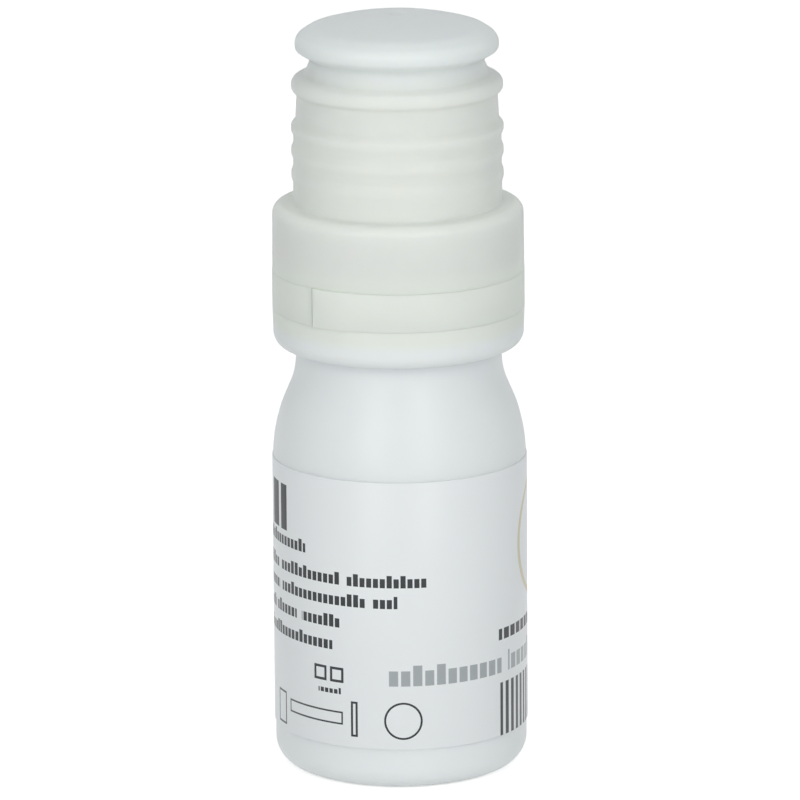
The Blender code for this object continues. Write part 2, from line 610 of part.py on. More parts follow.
def make_dispenser_base():
    """Base: flange on the gasket, plug in the neck, filter pocket, ports, and the well and tower."""
    pocket_inner = VENT_RING_RADIUS - FILTER_POCKET_WIDTH / 2
    pocket_outer = VENT_RING_RADIUS + FILTER_POCKET_WIDTH / 2
    plug_foot = BASE_UNDERSIDE - PLUG_DEPTH
    outline = [
        (0, WELL_BOTTOM),
        (TOWER_RADIUS, WELL_BOTTOM),
        (TOWER_RADIUS, BASE_UNDERSIDE),
        (PLUG_BORE, BASE_UNDERSIDE),
        (PLUG_BORE, plug_foot),
        (PLUG_RADIUS - PLUG_CHAMFER, plug_foot),
        (PLUG_RADIUS, plug_foot + PLUG_CHAMFER),
        (PLUG_RADIUS, BASE_UNDERSIDE),
        (NECK_RADIUS - BASE_FLANGE_SET_BACK, BASE_UNDERSIDE),
        (NECK_RADIUS - BASE_FLANGE_SET_BACK, BASE_TOP),
        (pocket_outer, BASE_TOP),
        (pocket_outer, BASE_TOP - FILTER_POCKET_DEPTH),
        (pocket_inner, BASE_TOP - FILTER_POCKET_DEPTH),
        (pocket_inner, BASE_TOP),
        (TOWER_RADIUS, BASE_TOP),
        (TOWER_RADIUS, TOWER_TOP),
        (TOWER_BORE_RADIUS, TOWER_TOP),
        (TOWER_BORE_RADIUS, SPRING_SEAT),
        (0, SPRING_SEAT),
    ]
    base = turned("dispenser_base", outline, finish("natural_base_plastic", (0.76, 0.78, 0.76), 0.45))
    low = BASE_UNDERSIDE - OVERRUN
    high = BASE_TOP + OVERRUN
    ports = pegs("liquid_port_cutter", PORT_RADIUS, low, high, PORT_RING_RADIUS, PORT_COUNT)
    combine(base, ports, "DIFFERENCE")
    vents = pegs("vent_hole_cutter", VENT_HOLE_RADIUS, low, high, VENT_RING_RADIUS, VENT_COUNT)
    combine(base, vents, "DIFFERENCE")


def make_neck_gasket():
    """Soft ring between the mouth and the base's flange."""
    inner = PLUG_RADIUS + FIT_GAP
    outer = NECK_RADIUS - BASE_FLANGE_SET_BACK
    outline = [(inner, GASKET_FOOT), (outer, GASKET_FOOT), (outer, GASKET_TOP), (inner, GASKET_TOP)]
    turned("neck_gasket", outline, finish("grey_gasket_rubber", (0.45, 0.46, 0.47), 0.70))


def make_vent_filter():
    """Membrane ring that lies in the base's pocket, over the vent holes."""
    foot = BASE_TOP - FILTER_POCKET_DEPTH + SEAT_GAP
    half_width = FILTER_POCKET_WIDTH / 2 - SLIDE_GAP
    inner = VENT_RING_RADIUS - half_width
    outer = VENT_RING_RADIUS + half_width
    top = foot + FILTER_THICKNESS
    outline = [(inner, foot), (outer, foot), (outer, top), (inner, top)]
    turned("vent_filter", outline, finish("white_membrane", (0.85, 0.85, 0.84), 0.90))


def make_flow_restrictor():
    """Ring on the well, under the ports: liquid enters by its notches and spreads in its groove."""
    inner = TOWER_RADIUS + SLIDE_GAP
    outer = inner + RESTRICTOR_WIDTH
    top = BASE_UNDERSIDE - SEAT_GAP
    foot = top - RESTRICTOR_THICKNESS
    groove_inner = inner + RESTRICTOR_RIM
    groove_outer = groove_inner + RESTRICTOR_GROOVE_WIDTH
    groove_floor = top - RESTRICTOR_GROOVE_DEPTH
    outline = [
        (inner, foot),
        (outer, foot),
        (outer, top),
        (groove_outer, top),
        (groove_outer, groove_floor),
        (groove_inner, groove_floor),
        (groove_inner, top),
        (inner, top),
    ]
    white = finish("white_restrictor_plastic", (0.78, 0.78, 0.76), 0.50)
    ring = turned("flow_restrictor", outline, white, SMALL_SIDES)
    notches = blocks(
        "restrictor_notch_cutter", NOTCH_WIDTH, groove_outer - OVERRUN, outer + OVERRUN,
        groove_floor, top + OVERRUN, round_the_ring(NOTCH_COUNT, RESTRICTOR_NOTCH_ANGLE),
    )
    combine(ring, notches, "DIFFERENCE")


def make_valve(axis):
    """Sliding valve: pin with its piston and pointed stem, and the lip seal on the piston."""
    seal_foot = PISTON_FOOT + PISTON_FLANGE_THICKNESS + SEAT_GAP
    seal_top = seal_foot + SEAL_HEIGHT
    top_flange = seal_top + SEAT_GAP
    piston_top = top_flange + PISTON_FLANGE_THICKNESS
    stem_top = OUTLET_FOOT - (STEM_RADIUS - OUTLET_RADIUS) - CONE_SEAT_GAP
    point_top = stem_top + STEM_RADIUS - PIN_POINT_RADIUS
    guide_radius = STEM_BORE_RADIUS - SLIDE_GAP
    guide_top = STEM_BORE_TOP - CONE_SEAT_GAP
    guide_foot = guide_top - GUIDE_HEIGHT
    outline = [
        (0, PISTON_FOOT - PIN_SPIGOT_LENGTH),
        (PIN_SPIGOT_RADIUS, PISTON_FOOT - PIN_SPIGOT_LENGTH),
        (PIN_SPIGOT_RADIUS, PISTON_FOOT),
        (PISTON_FLANGE_RADIUS, PISTON_FOOT),
        (PISTON_FLANGE_RADIUS, PISTON_FOOT + PISTON_FLANGE_THICKNESS),
        (PISTON_CORE_RADIUS, PISTON_FOOT + PISTON_FLANGE_THICKNESS),
        (PISTON_CORE_RADIUS, top_flange),
        (PISTON_TOP_RADIUS, top_flange),
        (PISTON_TOP_RADIUS, piston_top),
        (STEM_RADIUS, piston_top),
        (STEM_RADIUS, guide_foot),
        (guide_radius, guide_foot),
        (guide_radius, guide_top),
        (STEM_RADIUS, guide_top),
        (STEM_RADIUS, stem_top),
        (PIN_POINT_RADIUS, point_top),
        (0, point_top),
    ]
    pin = turned("valve_pin", outline, finish("white_pin_plastic", (0.82, 0.82, 0.80), 0.40), SMALL_SIDES)
    flutes = blocks(
        "guide_flute_cutter", GUIDE_NOTCH_WIDTH, STEM_RADIUS, guide_radius + OVERRUN,
        guide_foot - OVERRUN, guide_top + OVERRUN, round_the_ring(GUIDE_NOTCH_COUNT, GUIDE_NOTCH_ANGLE),
    )
    combine(pin, flutes, "DIFFERENCE")
    inner = PISTON_CORE_RADIUS + SEAT_GAP
    outer = TOWER_BORE_RADIUS - SLIDE_GAP
    lip_root = seal_top - SEAL_LIP_DEPTH
    groove = (inner + outer) / 2
    outline = [
        (inner, seal_foot),
        (outer - SEAL_FLARE, seal_foot),
        (outer, seal_top),
        (groove + SEAL_LIP_WIDTH / 2, seal_top),
        (groove, lip_root),
        (groove - SEAL_LIP_WIDTH / 2, seal_top),
        (inner, seal_top),
    ]
    seal = turned("pin_seal", outline, finish("clear_seal_rubber", (0.70, 0.71, 0.70), 0.55), SMALL_SIDES)
    for piece in (pin, seal):
        piece.parent = axis


def least_gap(points, wire_radius, skip):
    """The least clear distance of a coil to itself, between points at least skip places apart."""
    closest = min(
        (Vector(a) - Vector(b)).length
        for index, a in enumerate(points)
        for b in points[index + skip :]
    )
    return closest - 2 * wire_radius


def make_return_spring(axis):
    """Coil spring between the well's floor and the piston, one unbroken wire with short straight ends."""
    low = SPRING_SEAT + SEAT_GAP + SPRING_WIRE_RADIUS
    high = PISTON_FOOT - SEAT_GAP - SPRING_WIRE_RADIUS
    steps = SPRING_CURLS * CURL_POINTS
    points = []
    for step in range(steps + 1):
        angle = math.tau * step / CURL_POINTS
        height = low + (high - low) * step / steps
        points.append((SPRING_RADIUS * math.cos(angle), SPRING_RADIUS * math.sin(angle), height))
    run = 2 * SPRING_WIRE_RADIUS
    first = (points[0][0], points[0][1] - run, low)
    last = (points[-1][0], points[-1][1] + run, high)
    gap = least_gap(points, SPRING_WIRE_RADIUS, CURL_POINTS // 2)
    print(f"return_spring: least gap to itself {gap * 1000:.2f} mm")
    curve = bpy.data.curves.new("return_spring", "CURVE")
    curve.dimensions = "3D"
    curve.bevel_depth = SPRING_WIRE_RADIUS
    curve.bevel_resolution = 1
    curve.use_fill_caps = True
    route = [first, *points, last]
    spline = curve.splines.new("POLY")
    spline.points.add(len(route) - 1)
    for point, place in zip(spline.points, route):
        point.co = (*place, 1)
    spring = bpy.data.objects.new("return_spring", curve)
    bpy.context.collection.objects.link(spring)
    curve.materials.append(finish("spring_steel", (0.60, 0.60, 0.60), 0.25, 1.0))
    spring.parent = axis


def make_valve_axis():
    """An empty on the valve's sliding axis, which carries the pin, its seal and the spring."""
    axis = bpy.data.objects.new("valve_axis", None)
    bpy.context.collection.objects.link(axis)
    return axis


def main():
    for item in list(bpy.data.objects):
        bpy.data.objects.remove(item, do_unlink=True)
    make_bottle()
    make_label()
    make_neck_gasket()
    make_dispenser_base()
    make_vent_filter()
    make_flow_restrictor()
    make_nozzle()
    valve_axis = make_valve_axis()
    make_valve(valve_axis)
    make_return_spring(valve_axis)
    make_closure_collar()
    make_tamper_band()
    make_protective_cap()


main()
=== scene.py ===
"""Eye drop bottle, dressed for looks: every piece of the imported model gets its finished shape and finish.

Metres, +Z up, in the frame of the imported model. Run it as a script in Blender.
"""

import math

import bmesh
import bpy
from bpy.props import FloatProperty, FloatVectorProperty, IntProperty, PointerProperty
from mathutils import Matrix, Vector


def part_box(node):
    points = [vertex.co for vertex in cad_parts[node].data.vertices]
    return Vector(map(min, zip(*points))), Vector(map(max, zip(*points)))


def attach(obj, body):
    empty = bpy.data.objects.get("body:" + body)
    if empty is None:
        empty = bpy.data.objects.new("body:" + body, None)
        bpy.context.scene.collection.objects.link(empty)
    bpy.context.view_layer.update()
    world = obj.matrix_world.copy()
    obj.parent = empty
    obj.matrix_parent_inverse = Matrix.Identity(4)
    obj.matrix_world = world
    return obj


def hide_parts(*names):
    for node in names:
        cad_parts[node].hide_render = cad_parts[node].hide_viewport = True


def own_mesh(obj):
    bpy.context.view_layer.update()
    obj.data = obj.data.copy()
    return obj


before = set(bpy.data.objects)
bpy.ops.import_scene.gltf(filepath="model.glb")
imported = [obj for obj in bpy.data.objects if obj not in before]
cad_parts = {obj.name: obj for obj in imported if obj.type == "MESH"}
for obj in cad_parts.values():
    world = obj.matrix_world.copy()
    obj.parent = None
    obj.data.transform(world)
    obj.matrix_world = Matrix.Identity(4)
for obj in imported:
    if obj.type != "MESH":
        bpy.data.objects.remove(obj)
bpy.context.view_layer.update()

bl_info = {
    "name": "Eye drop bottle",
    "version": (1, 0, 0),
    "blender": (4, 5, 0),
    "location": "3D View > Sidebar > Drop bottle",
    "description": "Models an eye drop bottle with its closure, valve and cap, and gives them their finishes",
    "category": "Object",
}

# Fineness: how far a round may stray from a true arc, sides of a full turn, and steps of crown and coil
ROUND_FINENESS = 0.000004
SHELL_SIDES = 160
BAND_SIDES = 217
SMALL_SIDES = 96
HOLE_SIDES = 24
WIRE_SIDES = 14
CROWN_STEPS = 14
COIL_STEPS = 32
SMOOTH_ANGLE = math.radians(32)

# Points nearer than this are one point, a tool reaches so far past what it cuts, and a round uses at most
# one of so many parts of a side
WELD = 0.0000001
OVERRUN = 0.0004
SIDE_PARTS = 2.02

# Rounds of moulded edges, from the line where a mould parts to a full one, and of thin sheet
PARTING = 0.00001
CRISP = 0.0001
FINE = 0.00015
EASY = 0.0002
SOFT = 0.0003
FULL = 0.0004
SHEET = 0.00004

# Upwards, and the millimetres in a metre
UP = (0, 0, 1)
MM = 1000


def linear(hex_colour):
    """Turn an sRGB hex colour into linear red, green and blue."""
    shares = [int(hex_colour[place : place + 2], 16) / 255 for place in (1, 3, 5)]
    return tuple(share / 12.92 if share <= 0.04045 else ((share + 0.055) / 1.055) ** 2.4 for share in shares)


def size(name, description, default):
    """A length that a user can change."""
    return FloatProperty(name=name, description=description, default=default, unit="LENGTH", precision=5)


def angle(name, description, degrees):
    """An angle that a user can change."""
    return FloatProperty(name=name, description=description, default=math.radians(degrees), subtype="ANGLE")


def amount(name, description, default):
    """A plain number that a user can change."""
    return FloatProperty(name=name, description=description, default=default)


def number_of(name, description, default):
    """A number of like things that a user can change."""
    return IntProperty(name=name, description=description, default=default)


def colour(name, description, hex_colour):
    """A colour that a user can change."""
    return FloatVectorProperty(
        name=name, description=description, default=linear(hex_colour), subtype="COLOR", min=0, max=1
    )


def radius_of(node):
    """Widest radius of a CAD node."""
    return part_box(node)[1].x


def foot_of(node):
    """Lowest height of a CAD node."""
    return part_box(node)[0].z


def top_of(node):
    """Highest height of a CAD node."""
    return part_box(node)[1].z


class BottleSizes(bpy.types.PropertyGroup):
    """Sizes and colour of the blow-moulded bottle."""

    body_radius: size("Body radius", "Outside radius of the body", radius_of("bottle"))
    wall: size("Wall", "Thickness of the body's wall", 0.0010)
    foot_round: size("Foot round", "Radius of the edge at the foot", 0.0027)
    push_up_radius: size("Push-up radius", "Radius of the hollow under the base", 0.0072)
    push_up_depth: size("Push-up depth", "Depth of the hollow under the base", 0.0008)
    push_up_step: size("Push-up step", "Height of the slope round the hollow", 0.0004)
    shoulder_height: size("Shoulder height", "Where body and shoulder would meet without a round", 0.0336)
    shoulder_round: size("Shoulder round", "Radius of the shoulder", 0.0130)
    neck_height: size("Neck height", "Where shoulder and neck would meet without a round", 0.03888)
    neck_round: size("Neck round", "Radius of the hollow at the neck's root", 0.0060)
    neck_radius: size("Neck radius", "Outside radius of the neck", 0.0099)
    neck_bore: size("Neck bore", "Inside radius of the neck", 0.0087)
    bead_foot: size("Bead foot", "Height of the underside of the snap bead", 0.04348)
    bead_proud: size("Bead proud", "How far the snap bead stands out", 0.00045)
    plastic: colour("Plastic", "White squeeze plastic", "#e9edee")


class LabelSizes(bpy.types.PropertyGroup):
    """Sizes and colours of the wrap-round label."""

    radius: size("Radius", "Outside radius of the label", 0.012259)
    foot: size("Foot", "Height of the label's lower edge", foot_of("label"))
    top: size("Top", "Height of the label's upper edge", top_of("label"))
    thickness: size("Thickness", "Thickness of film and glue", 0.000094)
    seam: size("Seam", "Gap between the ends of the film", 0.0004)
    film: colour("Film", "White film", "#e5e8ea")
    dark_ink: colour("Dark ink", "Ink of the small rows", "#22262a")
    grey_ink: colour("Grey ink", "Ink of the large row", "#a0a6a8")
    pale_ink: colour("Pale ink", "Ink of the ring on the front", "#cfc7ab")


class CollarSizes(bpy.types.PropertyGroup):
    """Sizes and colour of the push-on collar."""

    radius: size("Radius", "Outside radius of the band that shows", radius_of("closure_collar"))
    foot: size("Foot", "Height of the collar's lower edge", foot_of("closure_collar"))
    band_top: size("Band top", "Height of the step that the tear-off band stands on", 0.04515)
    lip_top: size("Lip top", "Height of the lip that catches the neck's bead", 0.04343)
    edge_round: size("Edge round", "Radius of the lower edge", 0.0013)
    spigot_radius: size("Spigot radius", "Outside radius of the spigot", 0.0108)
    bead_foot: size("Bead foot", "Height where the spigot's snap bead starts", 0.05145)
    bead_proud: size("Bead proud", "How far the snap bead stands out", 0.0002)
    bore: size("Bore", "Inside radius of the spigot", 0.0101)
    pocket: size("Pocket", "Inside radius of the pocket round the neck's bead", 0.01055)
    deck_hole: size("Deck hole", "Radius of the hole that the nozzle comes through", 0.0079)
    deck_thickness: size("Deck thickness", "Thickness of the deck", 0.0008)
    plastic: colour("Plastic", "Natural, milky plastic", "#f1f7ee")
    # Painted tint: the collar's foot is painted cooler, standing in for light from the bottle's white neck
    # seen through the milky plastic
    foot_painted_tint: colour("Foot plastic", "The same plastic over the bottle's cool white neck", "#f1f7f8")


class BandSizes(bpy.types.PropertyGroup):
    """Sizes and colour of the tear-off band."""

    radius: size("Radius", "Outside radius of the band", 0.01209)
    bore: size("Bore", "Inside radius of the band", 0.0110)
    foot: size("Foot", "Height of the lower edge", 0.04516)
    top: size("Top", "Height of the upper edge", 0.04884)
    edge: size("Edge", "Radius of the outer edges", 0.00001)
    split_width: size("Split width", "Width of the split where tearing starts", 0.00010)
    tab_proud: size("Tab proud", "How far the tab stands out at the split", 0.00018)
    tab_span: angle("Tab span", "Angle over which the tab rises", 24)
    split_angle: angle("Split angle", "Place of the split", -132.3)
    bridges: number_of("Bridges", "Number of breakable bridges on each edge", 9)
    plastic: colour("Plastic", "Natural, milky plastic", "#f1f7ee")


class CapSizes(bpy.types.PropertyGroup):
    """Sizes and colour of the pull-off cap."""

    skirt_radius: size("Skirt radius", "Outside radius of the skirt", 0.01207)
    skirt_bore: size("Skirt bore", "Inside radius of the skirt", 0.01119)
    bead_bore: size("Bead bore", "Inside radius of the skirt's snap bead", 0.01108)
    foot: size("Foot", "Height of the skirt's lower edge", foot_of("protective_cap"))
    ledge: size("Ledge", "Height of the ledge on the skirt", 0.05527)
    ledge_round: size("Ledge round", "Radius of the ledge's outer edge", 0.0011)
    barrel_radius: size("Barrel radius", "Radius at the foot of the barrel", 0.01000)
    barrel_taper: size("Barrel taper", "How much it narrows up to the top grip ring", 0.00008)
    neck_radius: size("Neck radius", "Radius of the barrel over the top grip ring", 0.00974)
    neck_taper: size("Neck taper", "How much it narrows from there up to the thick ring", 0.00016)
    thick_radius: size("Thick ring radius", "Radius of the thick ring", 0.01010)
    ring_radius: size("Ring radius", "Radius of the grip rings", 0.01014)
    ring_first: size("First ring", "Height of the lowest grip ring", 0.05810)
    ring_pitch: size("Ring pitch", "Distance from one grip ring to the next", 0.00227)
    ring_foot: size("Ring foot", "Width of a grip ring at its foot", 0.00155)
    ring_crest: size("Ring crest", "Width of a grip ring at its crest", 0.00050)
    rings: number_of("Rings", "Number of grip rings", 3)
    thick_foot: size("Thick ring foot", "Height of the thick ring's underside", 0.06592)
    thick_top: size("Thick ring top", "Height of the thick ring's upper edge", 0.06775)
    waist_foot_radius: size("Waist foot radius", "Radius of the waist over the thick ring", 0.00882)
    waist_top_radius: size("Waist top radius", "Radius of the waist under the head", 0.00822)
    waist_top: size("Waist top", "Height of the waist's upper end", 0.06927)
    head_radius: size("Head radius", "Radius of the mushroom head", 0.00971)
    head_foot: size("Head foot", "Height of the head's underside at its rim", 0.07017)
    rim_top: size("Rim top", "Height of the head's rim", 0.07137)
    crown_edge_radius: size("Crown edge radius", "Radius where the crown starts", 0.00837)
    crown_edge: size("Crown edge", "Height where the crown starts", 0.07227)
    crown_top: size("Crown top", "Height of the crown", top_of("protective_cap"))
    gate_radius: size("Gate radius", "Radius of the moulding gate's dimple", 0.0006)
    gate_depth: size("Gate depth", "Depth of the moulding gate's dimple", 0.0002)
    wall: size("Wall", "Thickness of the cap's wall", 0.0010)
    plastic: colour("Plastic", "Natural, milky plastic", "#f5fcf2")
    # Painted tint: the head is painted cooler, standing in for light through the milky plastic where no warm
    # nozzle lies behind it
    head_painted_tint: colour("Head plastic", "The same plastic where no warm nozzle lies behind it", "#f0f8f8")


class NozzleSizes(bpy.types.PropertyGroup):
    """Sizes and colour of the drop nozzle."""

    flange_radius: size("Flange radius", "Radius of the flange under the deck", 0.0098)
    foot: size("Foot", "Height of the flange's underside", foot_of("nozzle"))
    flange_top: size("Flange top", "Height of the flange's upper face", 0.05307)
    cone_foot_radius: size("Cone foot radius", "Radius of the cone on the flange", 0.006384)
    cone_shoulder: size("Cone shoulder", "Height where the straight foot ends", 0.05707)
    cone_foot_taper: size("Cone foot taper", "How much the straight foot narrows", 0.0003)
    cone_top: size("Cone top", "Height where the tip starts", 0.06527)
    cone_top_radius: size("Cone top radius", "Radius where the tip starts", 0.0033)
    tip_radius: size("Tip radius", "Radius of the tip", 0.0026)
    tip_top: size("Tip top", "Height of the tip", top_of("nozzle"))
    tip_round: size("Tip round", "Radius of the tip's edge", 0.0007)
    cup_radius: size("Cup radius", "Radius of the cup that the drop forms in", 0.0015)
    cup_depth: size("Cup depth", "Depth of the cup", 0.0005)
    outlet_radius: size("Outlet radius", "Radius of the outlet", 0.0005)
    outlet_foot: size("Outlet foot", "Height of the outlet's lower end", 0.06577)
    stem_bore: size("Stem bore", "Radius of the bore round the pin's guide", 0.0019)
    stem_bore_length: size("Stem bore length", "Length of the bore round the pin's guide", 0.0012)
    wall: size("Wall", "Thickness of the cone's wall", 0.0010)
    vent_ring: size("Vent ring", "Radius on which the vent holes lie", 0.006992)
    vent_radius: size("Vent radius", "Radius of a vent hole", 0.00035)
    vents: number_of("Vents", "Number of vent holes", 8)
    plastic: colour("Plastic", "Ivory plastic", "#f4f0dc")


class BaseSizes(bpy.types.PropertyGroup):
    """Sizes and colour of the dispenser base."""

    flange_radius: size("Flange radius", "Radius of the flange on the gasket", 0.0098)
    top: size("Top", "Height of the flange's upper face", 0.05222)
    underside: size("Underside", "Height of the flange's underside", 0.05132)
    plug_radius: size("Plug radius", "Outside radius of the plug in the neck", 0.0085)
    plug_bore: size("Plug bore", "Inside radius of the plug", 0.0076)
    plug_foot: size("Plug foot", "Height of the plug's lower edge", foot_of("dispenser_base"))
    tower_radius: size("Tower radius", "Outside radius of tower and well", 0.003876)
    tower_bore: size("Tower bore", "Inside radius of tower and well", 0.003076)
    tower_top: size("Tower top", "Height of the tower", top_of("dispenser_base"))
    well_bottom: size("Well bottom", "Height of the underside of the well", 0.04772)
    well_floor: size("Well floor", "Height of the well's floor", 0.04842)
    port_ring: size("Port ring", "Radius on which the liquid ports lie", 0.00463)
    port_radius: size("Port radius", "Radius of a liquid port", 0.000452)
    ports: number_of("Ports", "Number of liquid ports", 8)
    pocket_width: size("Pocket width", "Width of the filter's pocket", 0.0016)
    pocket_depth: size("Pocket depth", "Depth of the filter's pocket", 0.0004)
    plastic: colour("Plastic", "Natural plastic", "#e2e6e3")


class RingSizes(bpy.types.PropertyGroup):
    """Sizes and colours of the gasket, the vent filter and the flow restrictor."""

    gasket_inner: size("Gasket inner", "Inside radius of the gasket", 0.0087)
    gasket_outer: size("Gasket outer", "Outside radius of the gasket", 0.0098)
    filter_width: size("Filter width", "Width of the membrane ring", 0.00144)
    restrictor_inner: size("Restrictor inner", "Inside radius of the flow restrictor", 0.003956)
    restrictor_width: size("Restrictor width", "Width of the flow restrictor", 0.0019)
    groove_width: size("Groove width", "Width of the restrictor's groove", 0.0009)
    groove_depth: size("Groove depth", "Depth of the restrictor's groove", 0.0004)
    notch_width: size("Notch width", "Width of a notch that lets liquid in", 0.0005)
    rubber: colour("Rubber", "Grey gasket rubber", "#8e9294")
    membrane: colour("Membrane", "White membrane", "#f2f1ec")
    plastic: colour("Plastic", "White restrictor plastic", "#e7e6e0")


class ValveSizes(bpy.types.PropertyGroup):
    """Sizes and colours of the pin, its seal and its spring."""

    piston_radius: size("Piston radius", "Radius of the piston's lower flange", 0.002676)
    piston_top_radius: size("Piston top radius", "Radius of the piston's upper flange", 0.002276)
    core_radius: size("Core radius", "Radius of the core that the seal sits on", 0.001776)
    piston_foot: size("Piston foot", "Height of the piston's underside", 0.05602)
    flange: size("Flange", "Thickness of each piston flange", 0.0004)
    seal_height: size("Seal height", "Height of the seal", 0.0009)
    spigot_radius: size("Spigot radius", "Radius of the spigot inside the spring", 0.001301)
    stem_radius: size("Stem radius", "Radius of the stem", 0.0012)
    guide_radius: size("Guide radius", "Radius of the guide under the point", 0.00182)
    guide_foot: size("Guide foot", "Height of the guide's underside", 0.06307)
    guide_top: size("Guide top", "Height of the guide's upper face", 0.06427)
    stem_top: size("Stem top", "Height where the point starts", 0.06497)
    point_radius: size("Point radius", "Radius of the blunt point", 0.00042)
    spring_radius: size("Spring radius", "Radius of the coils, to the middle of the wire", 0.002176)
    wire_radius: size("Wire radius", "Radius of the wire", 0.000225)
    curls: number_of("Curls", "Number of turns of the spring", 6)
    plastic: colour("Plastic", "White pin plastic", "#eeeeea")
    rubber: colour("Rubber", "Clear seal rubber", "#dfe2df")
    steel: colour("Steel", "Drawn spring steel", "#c9c9c6")


class StudioSizes(bpy.types.PropertyGroup):
    """Floor, light and camera."""

    floor: colour("Floor", "Pale floor", "#f4f4f4")
    glow: amount("Glow", "Share of white that the floor adds where the camera sees it", 0.58)
    sky: amount("Sky", "Strength of the even light from all sides", 0.43)
    lamp_power: amount("Lamp power", "Power of each soft side lamp, in watts", 1.95)
    lamp_turn: angle("Lamp turn", "How far each side lamp stands to the side of the camera", 25)
    lamp_reach: size("Lamp reach", "Level distance from the bottle's axis to each side lamp", 0.80)
    lamp_height: size("Lamp height", "Height of the side lamps over the floor", 0.35)
    lamp_width: size("Lamp width", "Width of each side lamp", 0.16)
    lamp_length: size("Lamp length", "Height of each side lamp from edge to edge", 0.70)
    top_lamp_power: amount("Top lamp power", "Power of the lamp overhead, in watts", 0.55)
    top_lamp_reach: size("Top lamp reach", "How far the lamp overhead stands towards the camera", 0.15)
    top_lamp_height: size("Top lamp height", "Height of the lamp overhead over the floor", 0.85)
    top_lamp_side: size("Top lamp side", "Side of the square lamp overhead", 0.50)
    lamp_aim: size("Lamp aim", "Height on the bottle's axis that the lamps point at", 0.04)
    camera_distance: size("Camera distance", "Level distance from the bottle's axis to the camera", 0.700)
    camera_height: size("Camera height", "Height of the camera over the floor", 0.210227)
    camera_offset: size("Camera offset", "How far the camera stands to the right", 0.000078)
    camera_pitch: angle("Camera pitch", "How far the camera looks down", 14)
    camera_roll: angle("Camera roll", "How far the camera leans", -0.39)
    focal_length: amount("Focal length", "Focal length on a 36 mm sensor", 337.9)


def crown(centre_height, edge_radius, edge_height):
    """Corners of a shallow crown, from its edge to the axis."""
    drop = centre_height - edge_height
    shares = [step / CROWN_STEPS for step in range(CROWN_STEPS, -1, -1)]
    return [(edge_radius * share, centre_height - drop * share**2) for share in shares]


def rolled_edge(radius, foot, fillet):
    """Corners of a quarter-round lower edge, from the underside up to the side."""
    turns = [math.radians(90) * step / CROWN_STEPS for step in range(CROWN_STEPS + 1)]
    return [(radius - fillet * (1 - math.sin(turn)), foot + fillet * (1 - math.cos(turn))) for turn in turns]


def pick(*pieces):
    """Select these pieces and nothing else, and make the first one active."""
    bpy.ops.object.select_all(action="DESELECT")
    for piece in pieces:
        piece.select_set(True)
    bpy.context.view_layer.objects.active = pieces[0]


def named(name):
    """The object that was added last, under its own name."""
    added = bpy.context.object
    added.name = added.data.name = name
    return added


def edit_all():
    """Go into edit mode with everything selected."""
    bpy.ops.object.mode_set(mode="EDIT")
    bpy.ops.mesh.select_all(action="SELECT")


def select_points(piece, wanted):
    """Select those points of a mesh in edit mode that wanted gives back, and no others."""
    bpy.ops.mesh.select_all(action="DESELECT")
    mesh = bmesh.from_edit_mesh(piece.data)
    for point in wanted(mesh.verts):
        point.select = True
    mesh.select_flush(True)
    bmesh.update_edit_mesh(piece.data)


def draw_outline(name, corners, turn=0.0):
    """Draw a closed outline in an upright plane from corners: radius, height and, unless sharp, a round."""
    bpy.ops.object.select_all(action="DESELECT")
    bpy.ops.mesh.primitive_plane_add(size=WELD)
    piece = named(name)
    across, along = math.cos(turn), math.sin(turn)
    places = [Vector((radius * across, radius * along, height)) for radius, height, *_ in corners]
    edit_all()
    bpy.ops.mesh.merge(type="CENTER")
    bpy.ops.transform.translate(value=places[0])
    for start, end in zip(places, places[1:]):
        bpy.ops.mesh.extrude_region_move(TRANSFORM_OT_translate={"value": end - start})
    bpy.ops.mesh.select_all(action="SELECT")
    bpy.ops.mesh.edge_face_add()
    bpy.ops.mesh.delete(type="ONLY_FACE")
    for index, (_, _, *fillet) in enumerate(corners):
        if fillet:
            round_corner(piece, places[index - 1], places[index], places[(index + 1) % len(places)], *fillet)
    return piece


def round_corner(piece, before, corner, after, fillet):
    """Round one corner of an outline by a fillet, which uses less than half of each side."""
    back = before - corner
    ahead = after - corner
    half = back.angle(ahead) / 2
    reach = min(fillet / math.tan(half), back.length / SIDE_PARTS, ahead.length / SIDE_PARTS)
    fillet = reach * math.tan(half)
    turn = math.pi - 2 * half
    # A chord over an angle strays from its arc by an eighth of the radius times the angle squared
    segments = max(2, math.ceil(turn / math.sqrt(8 * ROUND_FINENESS / fillet)))
    select_points(piece, lambda points: [min(points, key=lambda point: (point.co - corner).length)])
    bpy.ops.mesh.bevel(offset=reach, offset_type="OFFSET", segments=segments, profile=0.5, affect="VERTICES")


def turn_outline(piece, sides, sweep=math.tau, closed_ends=False):
    """Spin an outline about the upright axis into a closed skin that faces outwards."""
    bpy.ops.mesh.select_all(action="SELECT")
    if closed_ends:
        bpy.ops.mesh.edge_face_add()
    bpy.ops.mesh.spin(steps=sides, angle=sweep, center=(0, 0, 0), axis=UP)
    bpy.ops.mesh.select_all(action="SELECT")
    bpy.ops.mesh.remove_doubles(threshold=WELD)
    bpy.ops.mesh.delete_loose()
    bpy.ops.mesh.select_all(action="SELECT")
    bpy.ops.mesh.normals_make_consistent(inside=False)
    bpy.ops.object.mode_set(mode="OBJECT")
    return piece


def turned(name, corners, sides=SHELL_SIDES):
    """A piece turned from its outline."""
    return turn_outline(draw_outline(name, corners), sides)


def combine(piece, tool, operation="DIFFERENCE"):
    """Cut a piece with a tool, or join the two, and remove the tool."""
    modifier = piece.modifiers.new("combine", "BOOLEAN")
    modifier.object = tool
    modifier.operation = operation
    modifier.solver = "EXACT"
    pick(piece)
    bpy.ops.object.modifier_apply(modifier=modifier.name)
    bpy.data.objects.remove(tool, do_unlink=True)


def joined(tools):
    """Join several tools into one."""
    pick(*tools)
    bpy.ops.object.join()
    return bpy.context.object


